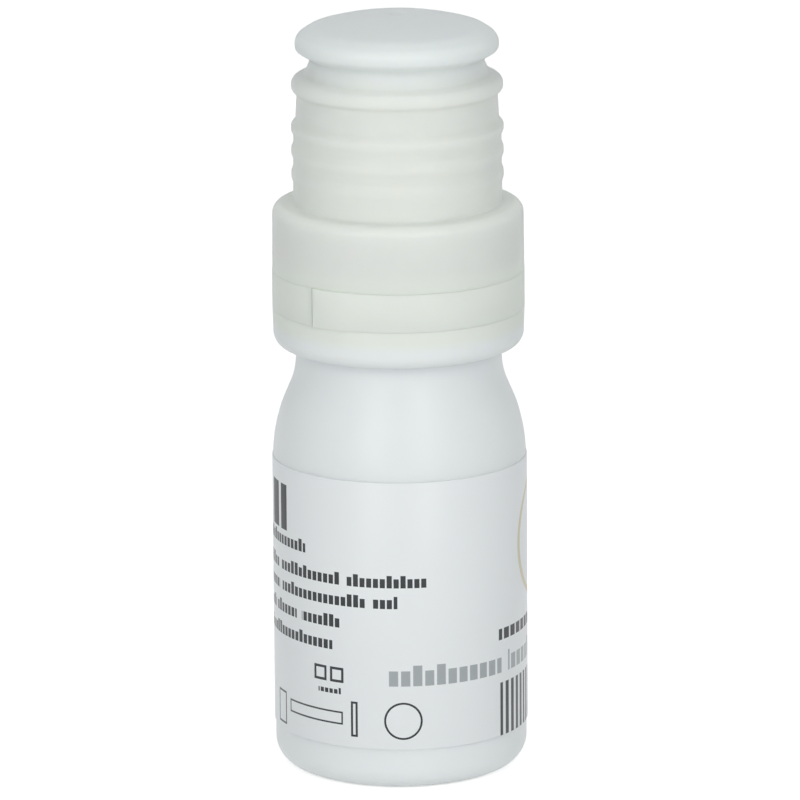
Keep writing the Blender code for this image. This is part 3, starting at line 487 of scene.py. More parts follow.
def spaced(count, radius, height, start=0.0):
    """Turns and places that are evenly spaced on a ring."""
    turns = [start + math.tau * copy / count for copy in range(count)]
    return [(turn, (radius * math.cos(turn), radius * math.sin(turn), height)) for turn in turns]


def pegs(radius, low, high, ring_radius, count):
    """A tool of upright pegs, evenly spaced on a ring."""
    tools = []
    depth = high - low
    for _, place in spaced(count, ring_radius, (low + high) / 2):
        bpy.ops.mesh.primitive_cylinder_add(vertices=HOLE_SIDES, radius=radius, depth=depth, location=place)
        tools.append(bpy.context.object)
    return joined(tools)


def blocks(width, inner, outer, low, high, count, start):
    """A tool of blocks that reach from an inner to an outer radius, evenly spaced on a ring."""
    tools = []
    scale = (outer - inner, width, high - low)
    for turn, place in spaced(count, (inner + outer) / 2, (low + high) / 2, start):
        bpy.ops.mesh.primitive_cube_add(size=1, location=place, rotation=(0, 0, turn), scale=scale)
        tools.append(bpy.context.object)
    return joined(tools)


def dress(piece, material, body, node):
    """Give a finished piece its finish, and let it ride on its body in the place of its CAD node."""
    pick(piece)
    piece.data.materials.clear()
    bpy.ops.object.shade_smooth_by_angle(angle=SMOOTH_ANGLE)
    piece.data.materials.append(material)
    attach(piece, body)
    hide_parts(node)


def feed(tree, node, inputs):
    """Give a node its inputs, by name or in its own order: each is a value or the socket that feeds it."""
    for key, value in inputs.items() if isinstance(inputs, dict) else enumerate(inputs):
        if isinstance(value, bpy.types.NodeSocket):
            tree.links.new(value, node.inputs[key])
        else:
            node.inputs[key].default_value = value


def add_node(tree, kind, inputs=(), **settings):
    """Add one node with its settings and its inputs, and give back the first output that it then has."""
    node = tree.nodes.new("ShaderNode" + kind)
    for name, value in settings.items():
        setattr(node, name, value)
    feed(tree, node, inputs)
    return next(output for output in node.outputs if output.enabled)


def per_mm(millimetres):
    """Texture scale at which a pattern on object coordinates repeats about once in so many millimetres."""
    return MM / millimetres


def parts_of(material):
    """A material's tree, its shader, and the place on the piece in metres."""
    tree = material.node_tree
    return tree, tree.nodes["Principled BSDF"], add_node(tree, "TexCoord").node.outputs["Object"]


def new_finish(name):
    """A new node material and its parts."""
    material = bpy.data.materials.new(name)
    material.use_nodes = True
    return material, *parts_of(material)


# The values that a noise pattern mostly lies between, and the setting of a soft change
NOISE_SPAN = (0.3, 0.7)
SOFT_STEP = {"interpolation_type": "SMOOTHSTEP"}
# The melt's waves are so many times as deep as the grain. Then the mould's parting line on the bottle, from
# its middle to its edge, and its depth
WAVE_DEPTHS = 8
LINE_WIDTH = 0.00012
LINE_DEPTH = 0.00003
# How far in from a parting edge less light soaks in, and the least share of it that does
EDGE_REACH = 0.0012
EDGE_SHARE = 0.3
CAP_EDGE_REACH = 0.0022
CAP_EDGE_SHARE = 0.25
# Height over which the evening of the ribs' shade sets in, and the share of their lean that it takes away
RIB_EASE = 0.0006
RIB_SHARE = 0.75


def mottled(tree, place, tint, darker, millimetres, **noise):
    """A colour that drifts between a tint and one darker by a share, over patches of the size given."""
    noise = {"Vector": place, "Scale": per_mm(millimetres), "Detail": 3.0} | noise
    dark = [part * (1 - darker) for part in tint]
    colours = {"Factor": add_node(tree, "TexNoise", noise), "A": (*dark, 1.0), "B": (*tint, 1.0)}
    return add_node(tree, "Mix", colours, data_type="RGBA")


def ranged(tree, place, low, high, millimetres):
    """A value that drifts between two limits over patches of the size given."""
    noise = add_node(tree, "TexNoise", {"Vector": place, "Scale": per_mm(millimetres), "Detail": 3.0})
    return add_node(tree, "MapRange", (noise, *NOISE_SPAN, low, high))


def relief(tree, place, depth, millimetres, under=None, **noise):
    """The normal of grain with the depth and size given, over another normal if there is one."""
    noise = {"Vector": place, "Scale": per_mm(millimetres), "Detail": 2.0} | noise
    bump = {"Height": add_node(tree, "TexNoise", noise), "Distance": depth}
    return add_node(tree, "Bump", bump | ({"Normal": under} if under else {}))


def moulded_plastic(name, tint, clarity, softness, roughness, wave_mm, grain_depth, coat=None):
    """Moulded polyolefin: light soaks into it, and flow of the melt leaves slow waves in colour and gloss."""
    material, tree, shader, place = new_finish(name)
    waves = relief(tree, place, grain_depth * WAVE_DEPTHS, wave_mm, Detail=1.0)
    smoothest, roughest = roughness - 0.04, roughness + 0.05
    feed(tree, shader, {
        "Base Color": mottled(tree, place, tint, darker=0.035, millimetres=wave_mm),
        "Roughness": ranged(tree, place, smoothest, roughest, millimetres=wave_mm / 2),
        # The mould's fine spark texture is near 0.05 mm; it is drawn at 0.35 mm, the finest that shows
        "Normal": relief(tree, place, grain_depth, millimetres=0.35, under=waves),
        "IOR": 1.5,
        "Transmission Weight": clarity,
        "Subsurface Weight": softness,
        "Subsurface Radius": (1.0, 1.0, 0.9),
        "Subsurface Scale": 0.0012,
        **(coat or {}),
    })
    return material


def squeeze_plastic(tint):
    """Blow-moulded LDPE: waxy and satin, with the mould's faint parting line down both sides."""
    material = moulded_plastic(
        "blow_moulded_ldpe", tint, clarity=0.03, softness=0.45, roughness=0.40, wave_mm=7,
        grain_depth=0.000002,
    )
    tree, shader, place = parts_of(material)
    across = add_node(tree, "SeparateXYZ", (place,)).node.outputs["Y"]
    off_line = add_node(tree, "Math", (across,), operation="ABSOLUTE")
    ridge = add_node(tree, "MapRange", (off_line, 0.0, LINE_WIDTH, 1.0, 0.0), **SOFT_STEP)
    under = shader.inputs["Normal"].links[0].from_socket
    lined = add_node(tree, "Bump", {"Height": ridge, "Distance": LINE_DEPTH, "Normal": under})
    feed(tree, shader, {"Normal": lined})
    return material


def milky_plastic(name, tint, clarity):
    """Natural injection-moulded polypropylene: milky, so that light soaks in and edges and ribs look soft."""
    return moulded_plastic(
        name, tint, clarity, softness=0.85, roughness=0.50, wave_mm=4, grain_depth=0.000001,
        coat={"Coat Weight": 0.08, "Coat Roughness": 0.15},
    )


def firm_edges(material, planes, reach, least):
    """Parting edges scatter light back before it soaks in: each plane is a direction and its offset."""
    tree, shader, place = parts_of(material)
    share = shader.inputs["Subsurface Weight"].default_value
    for direction, offset in planes:
        along = add_node(tree, "VectorMath", (place, direction), operation="DOT_PRODUCT")
        off = add_node(tree, "Math", (along, offset), operation="SUBTRACT")
        off = add_node(tree, "Math", (off,), operation="ABSOLUTE")
        kept = add_node(tree, "MapRange", (off, 0.0, reach, least, 1.0), **SOFT_STEP)
        share = add_node(tree, "Math", (kept, share), operation="MULTIPLY")
    feed(tree, shader, {"Subsurface Weight": share})


def painted_see_through_tint(material, tint, painted_full_height, own_again):
    """Painted see-through light: a cooler tint, painted in full at one height, stands in for light through
    the milky plastic from what lies behind it, and gives way to its own colour at another.
    """
    tree, shader, place = parts_of(material)
    own = shader.inputs["Base Color"].links[0].from_socket
    height = add_node(tree, "SeparateXYZ", (place,)).node.outputs["Z"]
    share = add_node(tree, "MapRange", (height, painted_full_height, own_again), **SOFT_STEP)
    mixed = add_node(tree, "Mix", {"Factor": share, "A": (*tint, 1.0), "B": own}, data_type="RGBA")
    feed(tree, shader, {"Base Color": mixed})


def evened_ribs(material, low, high, ease, share):
    """Light that soaks into milky ribs evens their shade: between two heights the normal leans less."""
    tree, _, place = parts_of(material)
    height = add_node(tree, "SeparateXYZ", (place,)).node.outputs["Z"]
    over = add_node(tree, "MapRange", (height, low, low + ease), **SOFT_STEP)
    under = add_node(tree, "MapRange", (height, high + ease, high), **SOFT_STEP)
    inside = add_node(tree, "Math", (over, under), operation="MULTIPLY")
    kept = add_node(tree, "Math", (inside, -share, 1.0), operation="MULTIPLY_ADD")
    squash = add_node(tree, "CombineXYZ", (1.0, 1.0, kept))
    normal = add_node(tree, "VectorMath", (place.node.outputs["Normal"], squash), operation="MULTIPLY")
    spaces = {"vector_type": "NORMAL", "convert_from": "OBJECT", "convert_to": "WORLD"}
    normal = add_node(tree, "VectorTransform", (normal,), **spaces)
    waves = next(node for node in tree.nodes if node.type == "BUMP" and not node.inputs["Normal"].links)
    feed(tree, waves, {"Normal": normal})


def dense_plastic(name, tint, roughness):
    """Injection-moulded acetal or dense polyethylene: opaque, even and slightly waxy."""
    return moulded_plastic(
        name, tint, clarity=0.0, softness=0.20, roughness=roughness, wave_mm=3, grain_depth=0.0000015
    )


def rubber(name, tint, clarity, roughness):
    """Moulded rubber: dull, with fine specks of filler and a soft grain."""
    material, tree, shader, place = new_finish(name)
    feed(tree, shader, {
        "Base Color": mottled(tree, place, tint, darker=0.12, millimetres=0.25),
        "Roughness": ranged(tree, place, low=roughness - 0.06, high=roughness + 0.08, millimetres=0.5),
        "Normal": relief(tree, place, depth=0.000006, millimetres=0.12),
        "IOR": 1.43,
        "Transmission Weight": clarity,
    })
    return material


def membrane(tint):
    """Pressed fibre membrane: chalky and matt, with a felt of fine threads."""
    material, tree, shader, place = new_finish("pressed_fibre_membrane")
    # The threads are near 0.01 mm; they are drawn at 0.08 mm, the finest that shows
    threads = {"millimetres": 0.08, "Detail": 5.0, "Roughness": 0.75, "Distortion": 1.5}
    feed(tree, shader, {
        "Base Color": mottled(tree, place, tint, darker=0.18, **threads),
        "Normal": relief(tree, place, depth=0.00002, **threads),
        "Roughness": 0.95,
    })
    return material


def drawn_steel(tint):
    """Drawn stainless spring wire: bright, with fine die lines along the wire."""
    material, tree, shader, place = new_finish("drawn_stainless_wire")
    # The die lines are near 0.005 mm apart; they are drawn 0.04 mm apart, the finest that shows
    along = add_node(tree, "Mapping", {"Vector": place, "Scale": (1.0, 1.0, 14.0)})
    lines = {"millimetres": 0.6, "Detail": 4.0}
    feed(tree, shader, {
        "Base Color": mottled(tree, along, tint, darker=0.25, **lines),
        "Roughness": ranged(tree, along, low=0.18, high=0.34, millimetres=0.6),
        "Normal": relief(tree, along, depth=0.000003, **lines),
        "Metallic": 1.0,
    })
    return material


# The print, in mm round the label from the middle of its front and up from the floor.
# Rows of words: foot, top, pitch of the blocks (0 is a solid bar), ends of each word
DARK_ROWS = (
    (24.3, 28.8, 0.0, ((-17.2, -15.2), (-14.6, -13.3))),
    (22.80, 23.70, 0.66, ((-18.5, -10.2),)),
    (20.30, 21.20, 0.66, ((-18.5, -15.3), (-14.6, -6.1), (-5.4, 2.6))),
    (18.25, 19.15, 0.66, ((-18.5, -15.1), (-14.4, -3.4), (-2.7, -0.3))),
    (16.05, 16.95, 0.66, ((-18.5, -16.3), (-15.8, -11.6), (-10.8, -6.0))),
    (13.80, 14.70, 0.66, ((-18.5, -6.9),)),
    (13.85, 14.95, 1.15, ((10.7, 18.7), (19.9, 27.0))),
    (9.45, 9.90, 0.52, ((-8.6, -6.0),)),
)
GREY_ROW = (10.60, 12.10, 1.16, ((-1.2, 11.1), (12.2, 19.9), (21.0, 27.3)))
# Share of its pitch that a block takes, share of the blocks that stand taller, and how much taller
BLOCK_SHARE = 0.76
TALL_SHARE = 0.28
TALL_RISE = 0.36
# Empty frames: left, right, foot, top, width of the line
FRAMES = (
    (-12.9, -5.8, 6.45, 7.75, 0.17),
    (-9.1, -7.6, 10.6, 12.1, 0.26),
    (-7.2, -5.7, 10.6, 12.1, 0.26),
    (-15.6, -13.7, 4.9, 8.2, 0.20),
    (-4.95, -4.25, 5.4, 8.9, 0.22),
)
# Rings: place round and up, radius, half the width of the line
SMALL_RING = (0.2, 7.15, 1.75, 0.10)
LARGE_RING = (20.4, 22.6, 5.9, 0.30)
# Stripes: pitch, share of it that is ink, left, right, foot, top
STRIPES = (0.98, 0.55, 10.9, 25.4, 3.9, 9.6)
# Rows round the back: foot, top, pitch, share of it that is ink, ends of the panels
BACK_ROWS = (5.0, 29.0, 1.28, 0.46, ((-36.5, -21.0), (29.0, 37.0)))
# Pitch of the blocks in them and share of it that is ink, and the noise that breaks them into words: its
# scale, the level under which it leaves a gap, and its shift from row to row
BACK_BLOCK = 0.46
BACK_SHARE = 0.7
WORD_SCALE = 0.55
WORD_GAPS = 0.44
ROW_SHIFT = 7.3
# Radius on which places round the label are measured
PRINT_RADIUS = 12.26


def stripe(tree, value, low, high):
    """Mask of a stripe: 1 where a value lies between two limits, and 0 elsewhere."""
    return add_node(tree, "Math", (value, (low + high) / 2, (high - low) / 2), operation="COMPARE")


def merged(tree, masks, operation="MULTIPLY"):
    """One mask from several: their product is what all of them cover, and their sum is what any covers."""
    result = masks[0]
    for mask in masks[1:]:
        result = add_node(tree, "Math", (result, mask), operation=operation)
    return result


def patch(tree, around, height, left, right, foot, top):
    """Mask of an upright rectangle."""
    return merged(tree, [stripe(tree, around, left, right), stripe(tree, height, foot, top)])


def bars(tree, value, pitch, share):
    """Mask of bars that repeat at a pitch and take a share of it, and where a value lies in pitches."""
    place = add_node(tree, "Math", (value, pitch), operation="DIVIDE")
    part = add_node(tree, "Math", (place,), operation="FRACT")
    return add_node(tree, "Math", (part, share), operation="LESS_THAN"), place


def row_of_blocks(tree, around, height, row):
    """Mask of one row of words, each broken into small blocks, some of which stand taller."""
    foot, top, pitch, words = row
    word = merged(tree, [stripe(tree, around, *ends) for ends in words], "ADD")
    line = stripe(tree, height, foot, top)
    if not pitch:
        return merged(tree, [word, line])
    block, place = bars(tree, around, pitch, BLOCK_SHARE)
    number = add_node(tree, "Math", (place,), operation="FLOOR")
    number = add_node(tree, "Math", (number, foot), operation="ADD")
    chance = add_node(tree, "TexWhiteNoise", {"W": number}, noise_dimensions="1D")
    tall = add_node(tree, "Math", (chance, 1 - TALL_SHARE), operation="GREATER_THAN")
    over = stripe(tree, height, top, top + TALL_RISE * (top - foot))
    line = merged(tree, [line, merged(tree, [over, tall])], "ADD")
    return merged(tree, [word, block, line])


def frame_outline(tree, around, height, frame_size):
    """Mask of an empty frame."""
    left, right, foot, top, line = frame_size
    outer = patch(tree, around, height, left, right, foot, top)
    inner = patch(tree, around, height, left + line, right - line, foot + line, top - line)
    return add_node(tree, "Math", (outer, inner), operation="SUBTRACT")


def ring_outline(tree, around, height, ring):
    """Mask of a plain ring."""
    across, up, radius, line = ring
    spot = add_node(tree, "CombineXYZ", (around, height))
    away = add_node(tree, "VectorMath", (spot, (across, up, 0)), operation="DISTANCE")
    return stripe(tree, away, radius - line, radius + line)


def stripes(tree, around, height):
    """Mask of evenly spaced upright stripes."""
    pitch, share, *edges = STRIPES
    return merged(tree, [bars(tree, around, pitch, share)[0], patch(tree, around, height, *edges)])


def back_rows(tree, around, height):
    """Mask of small rows round the back, broken into words by a pattern that changes from row to row."""
    foot, top, pitch, share, panels = BACK_ROWS
    on_row, place = bars(tree, height, pitch, share)
    number = add_node(tree, "Math", (place,), operation="FLOOR")
    shift = add_node(tree, "Math", (number, ROW_SHIFT), operation="MULTIPLY")
    spot = add_node(tree, "CombineXYZ", (around, shift))
    words = add_node(tree, "TexNoise", {"Vector": spot, "Scale": WORD_SCALE, "Detail": 1.0})
    word = add_node(tree, "Math", (words, WORD_GAPS), operation="GREATER_THAN")
    panel = merged(tree, [patch(tree, around, height, *ends, foot, top) for ends in panels], "ADD")
    block = bars(tree, around, BACK_BLOCK, BACK_SHARE)[0]
    return merged(tree, [on_row, word, panel, block])


def label_print(tree, place):
    """Masks of the pale, the grey and the dark ink: plain blocks, frames, stripes and rings, no lettering."""
    parts = add_node(tree, "SeparateXYZ", (place,)).node.outputs
    toward = add_node(tree, "Math", (parts["Y"], -1.0), operation="MULTIPLY")
    turn = add_node(tree, "Math", (parts["X"], toward), operation="ARCTAN2")
    around = add_node(tree, "Math", (turn, PRINT_RADIUS), operation="MULTIPLY")
    height = add_node(tree, "Math", (parts["Z"], MM), operation="MULTIPLY")
    dark = [row_of_blocks(tree, around, height, row) for row in DARK_ROWS]
    dark += [frame_outline(tree, around, height, frame_size) for frame_size in FRAMES]
    dark += [stripes(tree, around, height), back_rows(tree, around, height)]
    dark.append(ring_outline(tree, around, height, SMALL_RING))
    grey = row_of_blocks(tree, around, height, GREY_ROW)
    return ring_outline(tree, around, height, LARGE_RING), grey, merged(tree, dark, "ADD")


def label_film(s):
    """Biaxial polypropylene film, printed: smooth and satin, with slow ripples from the glue under it."""
    material, tree, shader, place = new_finish("printed_polypropylene_film")
    tint = mottled(tree, place, tuple(s.film), darker=0.02, millimetres=9)
    for mask, ink in zip(label_print(tree, place), (s.pale_ink, s.grey_ink, s.dark_ink)):
        tint = add_node(tree, "Mix", {"Factor": mask, "A": tint, "B": (*ink, 1.0)}, data_type="RGBA")
    feed(tree, shader, {
        "Base Color": tint,
        "Roughness": ranged(tree, place, low=0.34, high=0.42, millimetres=5),
        "Normal": relief(tree, place, depth=0.00002, millimetres=6, Detail=1.0),
        "IOR": 1.49,
    })
    return material


def seen_directly(tree):
    """1 for what the camera sees, straight, mirrored or through a surface, 0 for rays that carry light."""
    rays = add_node(tree, "LightPath").node.outputs
    kinds = [rays[f"Is {kind} Ray"] for kind in ("Camera", "Glossy", "Transmission")]
    return add_node(tree, "Math", (merged(tree, kinds, "ADD"), 1.0), operation="MINIMUM")


class MakeBottle(bpy.types.Operator):
    """Blow-moulded squeeze bottle with its push-up base, shoulder, neck and snap bead"""

    bl_idname = "drop_bottle.bottle"
    bl_label = "Bottle"

    def execute(self, context):
        s = context.scene.bottle_sizes
        inside = s.body_radius - s.wall
        bead = s.neck_radius + s.bead_proud
        bead_flat, bead_height = 0.0007, 0.0013
        mouth = top_of("bottle")
        push_up = crown(s.push_up_depth, s.push_up_radius - s.push_up_step, s.push_up_step)
        corners = [
            *push_up[::-1],
            (s.push_up_radius, 0, s.push_up_step), (s.body_radius, 0, s.foot_round),
            (s.body_radius, s.shoulder_height, s.shoulder_round),
            (s.neck_radius, s.neck_height, s.neck_round), (s.neck_radius, s.bead_foot, CRISP),
            (bead, s.bead_foot, FINE), (bead, s.bead_foot + bead_flat, SOFT),
            (s.neck_radius, s.bead_foot + bead_height, SOFT), (s.neck_radius, mouth, SOFT),
            (s.neck_bore, mouth, EASY), (s.neck_bore, s.neck_height, s.neck_round),
            (inside, s.shoulder_height, s.shoulder_round), (inside, s.wall, s.foot_round - s.wall),
            *crown(s.push_up_depth + s.wall, s.push_up_radius, s.wall),
        ]
        bottle = turned("bottle_shell", corners)
        self.pinch(bottle, s.push_up_depth)
        dress(bottle, squeeze_plastic(tuple(s.plastic)), "bottle_body", "bottle")
        return {"FINISHED"}

    def pinch(self, bottle, height):
        """Add the seam where the mould closed on the tube, across the push-up."""
        length, width, thickness, sunk, edge = 0.0092, 0.00045, 0.00030, 0.00005, 0.00012
        scale = (length, width, thickness)
        bpy.ops.mesh.primitive_cube_add(size=1, location=(0, 0, height - sunk), scale=scale)
        seam = bpy.context.object
        edit_all()
        bpy.ops.mesh.bevel(offset=edge, offset_type="OFFSET", segments=3, affect="EDGES")
        bpy.ops.object.mode_set(mode="OBJECT")
        combine(bottle, seam, "UNION")


class MakeLabel(bpy.types.Operator):
    """Wrap-round label of thin film, its ends nearly meeting at the back"""

    bl_idname = "drop_bottle.label"
    bl_label = "Label"

    def execute(self, context):
        s = context.scene.label_sizes
        inner, edge = s.radius - s.thickness, 0.00003
        corners = [(inner, s.foot), (s.radius, s.foot, edge), (s.radius, s.top, edge), (inner, s.top)]
        seam = s.seam / s.radius
        label = draw_outline("wrap_label", corners, math.radians(90) + seam / 2)
        turn_outline(label, SHELL_SIDES, math.tau - seam, closed_ends=True)
        dress(label, label_film(s), "bottle_body", "label")
        return {"FINISHED"}


class MakeCollar(bpy.types.Operator):
    """Push-on collar: lower band, spigot with its snap bead, and deck round the nozzle"""

    bl_idname = "drop_bottle.collar"
    bl_label = "Collar"

    def execute(self, context):
        s = context.scene.collar_sizes
        deck_top = top_of("closure_collar")
        deck_underside = deck_top - s.deck_thickness
        bead = s.spigot_radius + s.bead_proud
        draft = 0.00008
        bead_middle, bead_height = 0.0004, 0.0008
        pocket_side, pocket_height = 0.00095, 0.00155
        corners = [
            (s.bore, s.foot, FINE),
            *rolled_edge(s.radius - draft, s.foot, s.edge_round),
            (s.radius, s.band_top, PARTING), (s.spigot_radius, s.band_top, CRISP),
            (s.spigot_radius, s.bead_foot, CRISP), (bead, s.bead_foot + bead_middle, SOFT),
            (s.spigot_radius, s.bead_foot + bead_height, CRISP), (s.spigot_radius, deck_top, SOFT),
            (s.deck_hole, deck_top, FINE), (s.deck_hole, deck_underside), (s.bore, deck_underside),
            (s.bore, s.lip_top + pocket_height), (s.pocket, s.lip_top + pocket_side), (s.pocket, s.lip_top),
            (s.bore, s.lip_top, FINE),
        ]
        collar = turned("closure_ring", corners)
        finish = milky_plastic("natural_collar_polypropylene", tuple(s.plastic), clarity=0.12)
        firm_edges(finish, [(UP, s.band_top)], EDGE_REACH, EDGE_SHARE)
        # Painted see-through light: a cooler tint is painted along the collar's foot, in place of the white
        # neck seen through it
        painted_cool_top, painted_fade_top = 0.0014, 0.0028
        painted_see_through_tint(finish, tuple(s.foot_painted_tint), s.foot + painted_cool_top, s.foot + painted_fade_top)
        dress(collar, finish, "bottle_body", "closure_collar")
        return {"FINISHED"}


class MakeBand(bpy.types.Operator):
    """Tear-off band, split at its raised tab, with small bridges on both edges"""

    bl_idname = "drop_bottle.band"
    bl_label = "Tear-off band"

    def execute(self, context):
        s = context.scene.band_sizes
        corners = [
            (s.bore, s.foot, CRISP), (s.radius, s.foot, s.edge), (s.radius, s.top, s.edge),
            (s.bore, s.top, CRISP),
        ]
        split = s.split_width / s.radius
        band = draw_outline("tear_off_band", corners, s.split_angle + split / 2)
        turn_outline(band, BAND_SIDES, math.tau - split, closed_ends=True)
        self.raise_tab(band, s)
        inset, width, depth, proud = 0.0002, 0.0006, 0.0005, 0.00006
        inner = s.bore + inset
        reach = (inner, inner + depth, s.foot - proud, s.top + proud)
        bridges = blocks(width, *reach, s.bridges, s.split_angle + math.pi / s.bridges)
        combine(band, bridges, "UNION")
        finish = milky_plastic("natural_band_polypropylene", tuple(s.plastic), clarity=0.12)
        across = (-math.sin(s.split_angle), math.cos(s.split_angle), 0)
        firm_edges(finish, [(UP, s.foot), (UP, s.top), (across, 0.0)], EDGE_REACH, EDGE_SHARE)
        dress(band, finish, "tear_band", "tamper_band")
        return {"FINISHED"}

    def raise_tab(self, band, s):
        """Lift the band's outside towards the split, one upright row of points after the other."""
        bpy.ops.object.mode_set(mode="EDIT")
        step = (math.tau - s.split_width / s.radius) / BAND_SIDES
        for column in range(math.ceil(s.tab_span / step) + 1):
            turn = s.split_angle + s.split_width / s.radius / 2 + column * step
            share = (turn - s.split_angle) / s.tab_span
            if share >= 1:
                break

            def in_column(point):
                off = (math.atan2(point.co.y, point.co.x) - turn + math.pi) % math.tau - math.pi
                return abs(off) < step / 3 and point.co.xy.length > s.radius - 2 * s.edge

            select_points(band, lambda points: filter(in_column, points))
            lift = s.tab_proud * (1 - share**2)
            bpy.ops.transform.translate(value=(lift * math.cos(turn), lift * math.sin(turn), 0))
        bpy.ops.object.mode_set(mode="OBJECT")


class MakeCap(bpy.types.Operator):
    """One-piece pull-off cap: skirt, ringed barrel, thick ring, waist and mushroom head"""

    bl_idname = "drop_bottle.cap"
    bl_label = "Cap"

    def execute(self, context):
        s = context.scene.cap_sizes
        draft, root, thick_slope, head_neck = 0.00006, 0.00025, 0.0004, 0.00045
        thick_low_round, thick_high_round, rim_round, crown_round = 0.0005, 0.0007, 0.0013, 0.0030
        gate_lip, gate_drop = 0.0001, 0.00001
        # The crown ends where the gate's dimple starts
        dome = crown(s.crown_top, s.crown_edge_radius, s.crown_edge)[:-2]
        corners = [
            (s.skirt_bore, s.foot, CRISP), (s.skirt_radius, s.foot, PARTING),
            (s.skirt_radius - draft, s.ledge, s.ledge_round), (s.barrel_radius, s.ledge, root),
            *self.grip_rings(s),
            (self.barrel(s, s.thick_foot), s.thick_foot, root),
            (s.thick_radius, s.thick_foot + thick_slope, thick_low_round),
            (s.thick_radius, s.thick_top - thick_slope, thick_high_round),
            (s.waist_foot_radius, s.thick_top, SOFT), (s.waist_top_radius, s.waist_top, head_neck),
            (s.head_radius, s.head_foot, head_neck), (s.head_radius, s.rim_top, rim_round),
            (*dome[0], crown_round),
            *dome[1:],
            (s.gate_radius + gate_lip, s.crown_top - gate_drop, CRISP),
            (s.gate_radius, s.crown_top - s.gate_depth, CRISP), (0, s.crown_top - s.gate_depth),
            *self.inside(s),
        ]
        cap = turned("pull_off_cap", corners)
        finish = milky_plastic("natural_cap_polypropylene", tuple(s.plastic), clarity=0.16)
        firm_edges(finish, [(UP, s.foot)], CAP_EDGE_REACH, CAP_EDGE_SHARE)
        # Painted see-through light: the head and rim are painted cooler than the barrel, in place of light
        # through the plastic
        painted_see_through_tint(finish, tuple(s.head_painted_tint), s.rim_top, s.thick_foot)
        evened_ribs(finish, s.ledge + RIB_EASE, s.waist_top, RIB_EASE, RIB_SHARE)
        dress(cap, finish, "cap", "protective_cap")
        return {"FINISHED"}

    def barrel(self, s, height):
        """Radius of the barrel at a height: it steps in at the top grip ring."""
        top_ring = s.ring_first + s.ring_pitch * (s.rings - 1)
        if height < top_ring:
            return s.barrel_radius - s.barrel_taper * (height - s.ledge) / (top_ring - s.ledge)
        return s.neck_radius - s.neck_taper * (height - top_ring) / (s.thick_foot - top_ring)

    def grip_rings(self, s):
        """Corners of the grip rings, from the lowest up."""
        root = 0.0006
        corners = []
        for ring in range(s.rings):
            middle = s.ring_first + s.ring_pitch * ring
            low, high = middle - s.ring_foot / 2, middle + s.ring_foot / 2
            corners += [
                (self.barrel(s, low), low, root), (s.ring_radius, middle - s.ring_crest / 2, SOFT),
                (s.ring_radius, middle + s.ring_crest / 2, SOFT), (self.barrel(s, high), high, root),
            ]
        return corners

    def inside(self, s):
        """Corners of the inside, from the middle of the roof down to the skirt's foot."""
        bore = s.waist_top_radius - s.wall
        roof_top = s.crown_top - s.wall
        roof_edge = roof_top - (s.crown_top - s.crown_edge) * (bore / s.crown_edge_radius) ** 2
        roof_inset, roof_share, roof_round = 0.0009, 0.9, 0.0008
        step = s.ledge - s.wall
        bead_foot, bead_middle, bead_height = s.foot + 0.0014, 0.0004, 0.0008
        return [
            *crown(roof_top, bore - roof_inset, roof_top - roof_share * (roof_top - roof_edge))[::-1],
            (bore, roof_edge, roof_round), (bore, s.thick_top, FULL),
            (self.barrel(s, s.thick_foot) - s.wall, s.thick_foot, FULL),
            (s.barrel_radius - s.wall, step, EASY), (s.skirt_bore, step, FULL),
            (s.skirt_bore, bead_foot + bead_height), (s.bead_bore, bead_foot + bead_middle, SOFT),
            (s.skirt_bore, bead_foot),
        ]


class MakeNozzle(bpy.types.Operator):
    """Drop nozzle: flange with vent holes, hollow cone, and tip with drop cup and outlet"""

    bl_idname = "drop_bottle.nozzle"
    bl_label = "Nozzle"

    def execute(self, context):
        s = context.scene.nozzle_sizes
        shoulder_radius = s.cone_foot_radius - s.cone_foot_taper
        shoulder_round, cone_round = 0.0040, 0.0018
        seat = s.outlet_foot - (s.stem_bore - s.outlet_radius)
        corners = [
            (s.cone_foot_radius - s.wall, s.foot), (s.flange_radius, s.foot, CRISP),
            (s.flange_radius, s.flange_top, CRISP), (s.cone_foot_radius, s.flange_top, EASY),
            (shoulder_radius, s.cone_shoulder, shoulder_round), (s.cone_top_radius, s.cone_top, cone_round),
            (s.tip_radius, s.tip_top, s.tip_round), (s.cup_radius, s.tip_top, EASY),
            (s.outlet_radius, s.tip_top - s.cup_depth, CRISP), (s.outlet_radius, s.outlet_foot),
            (s.stem_bore, seat), (s.stem_bore, seat - s.stem_bore_length),
            (shoulder_radius - s.wall, s.cone_shoulder),
        ]
        nozzle = turned("drop_nozzle", corners)
        combine(nozzle, pegs(s.vent_radius, s.foot - OVERRUN, s.flange_top + OVERRUN, s.vent_ring, s.vents))
        finish = moulded_plastic(
            "ivory_polyethylene", tuple(s.plastic), clarity=0.06, softness=0.30, roughness=0.38, wave_mm=3,
            grain_depth=0.0000012,
        )
        dress(nozzle, finish, "bottle_body", "nozzle")
        return {"FINISHED"}


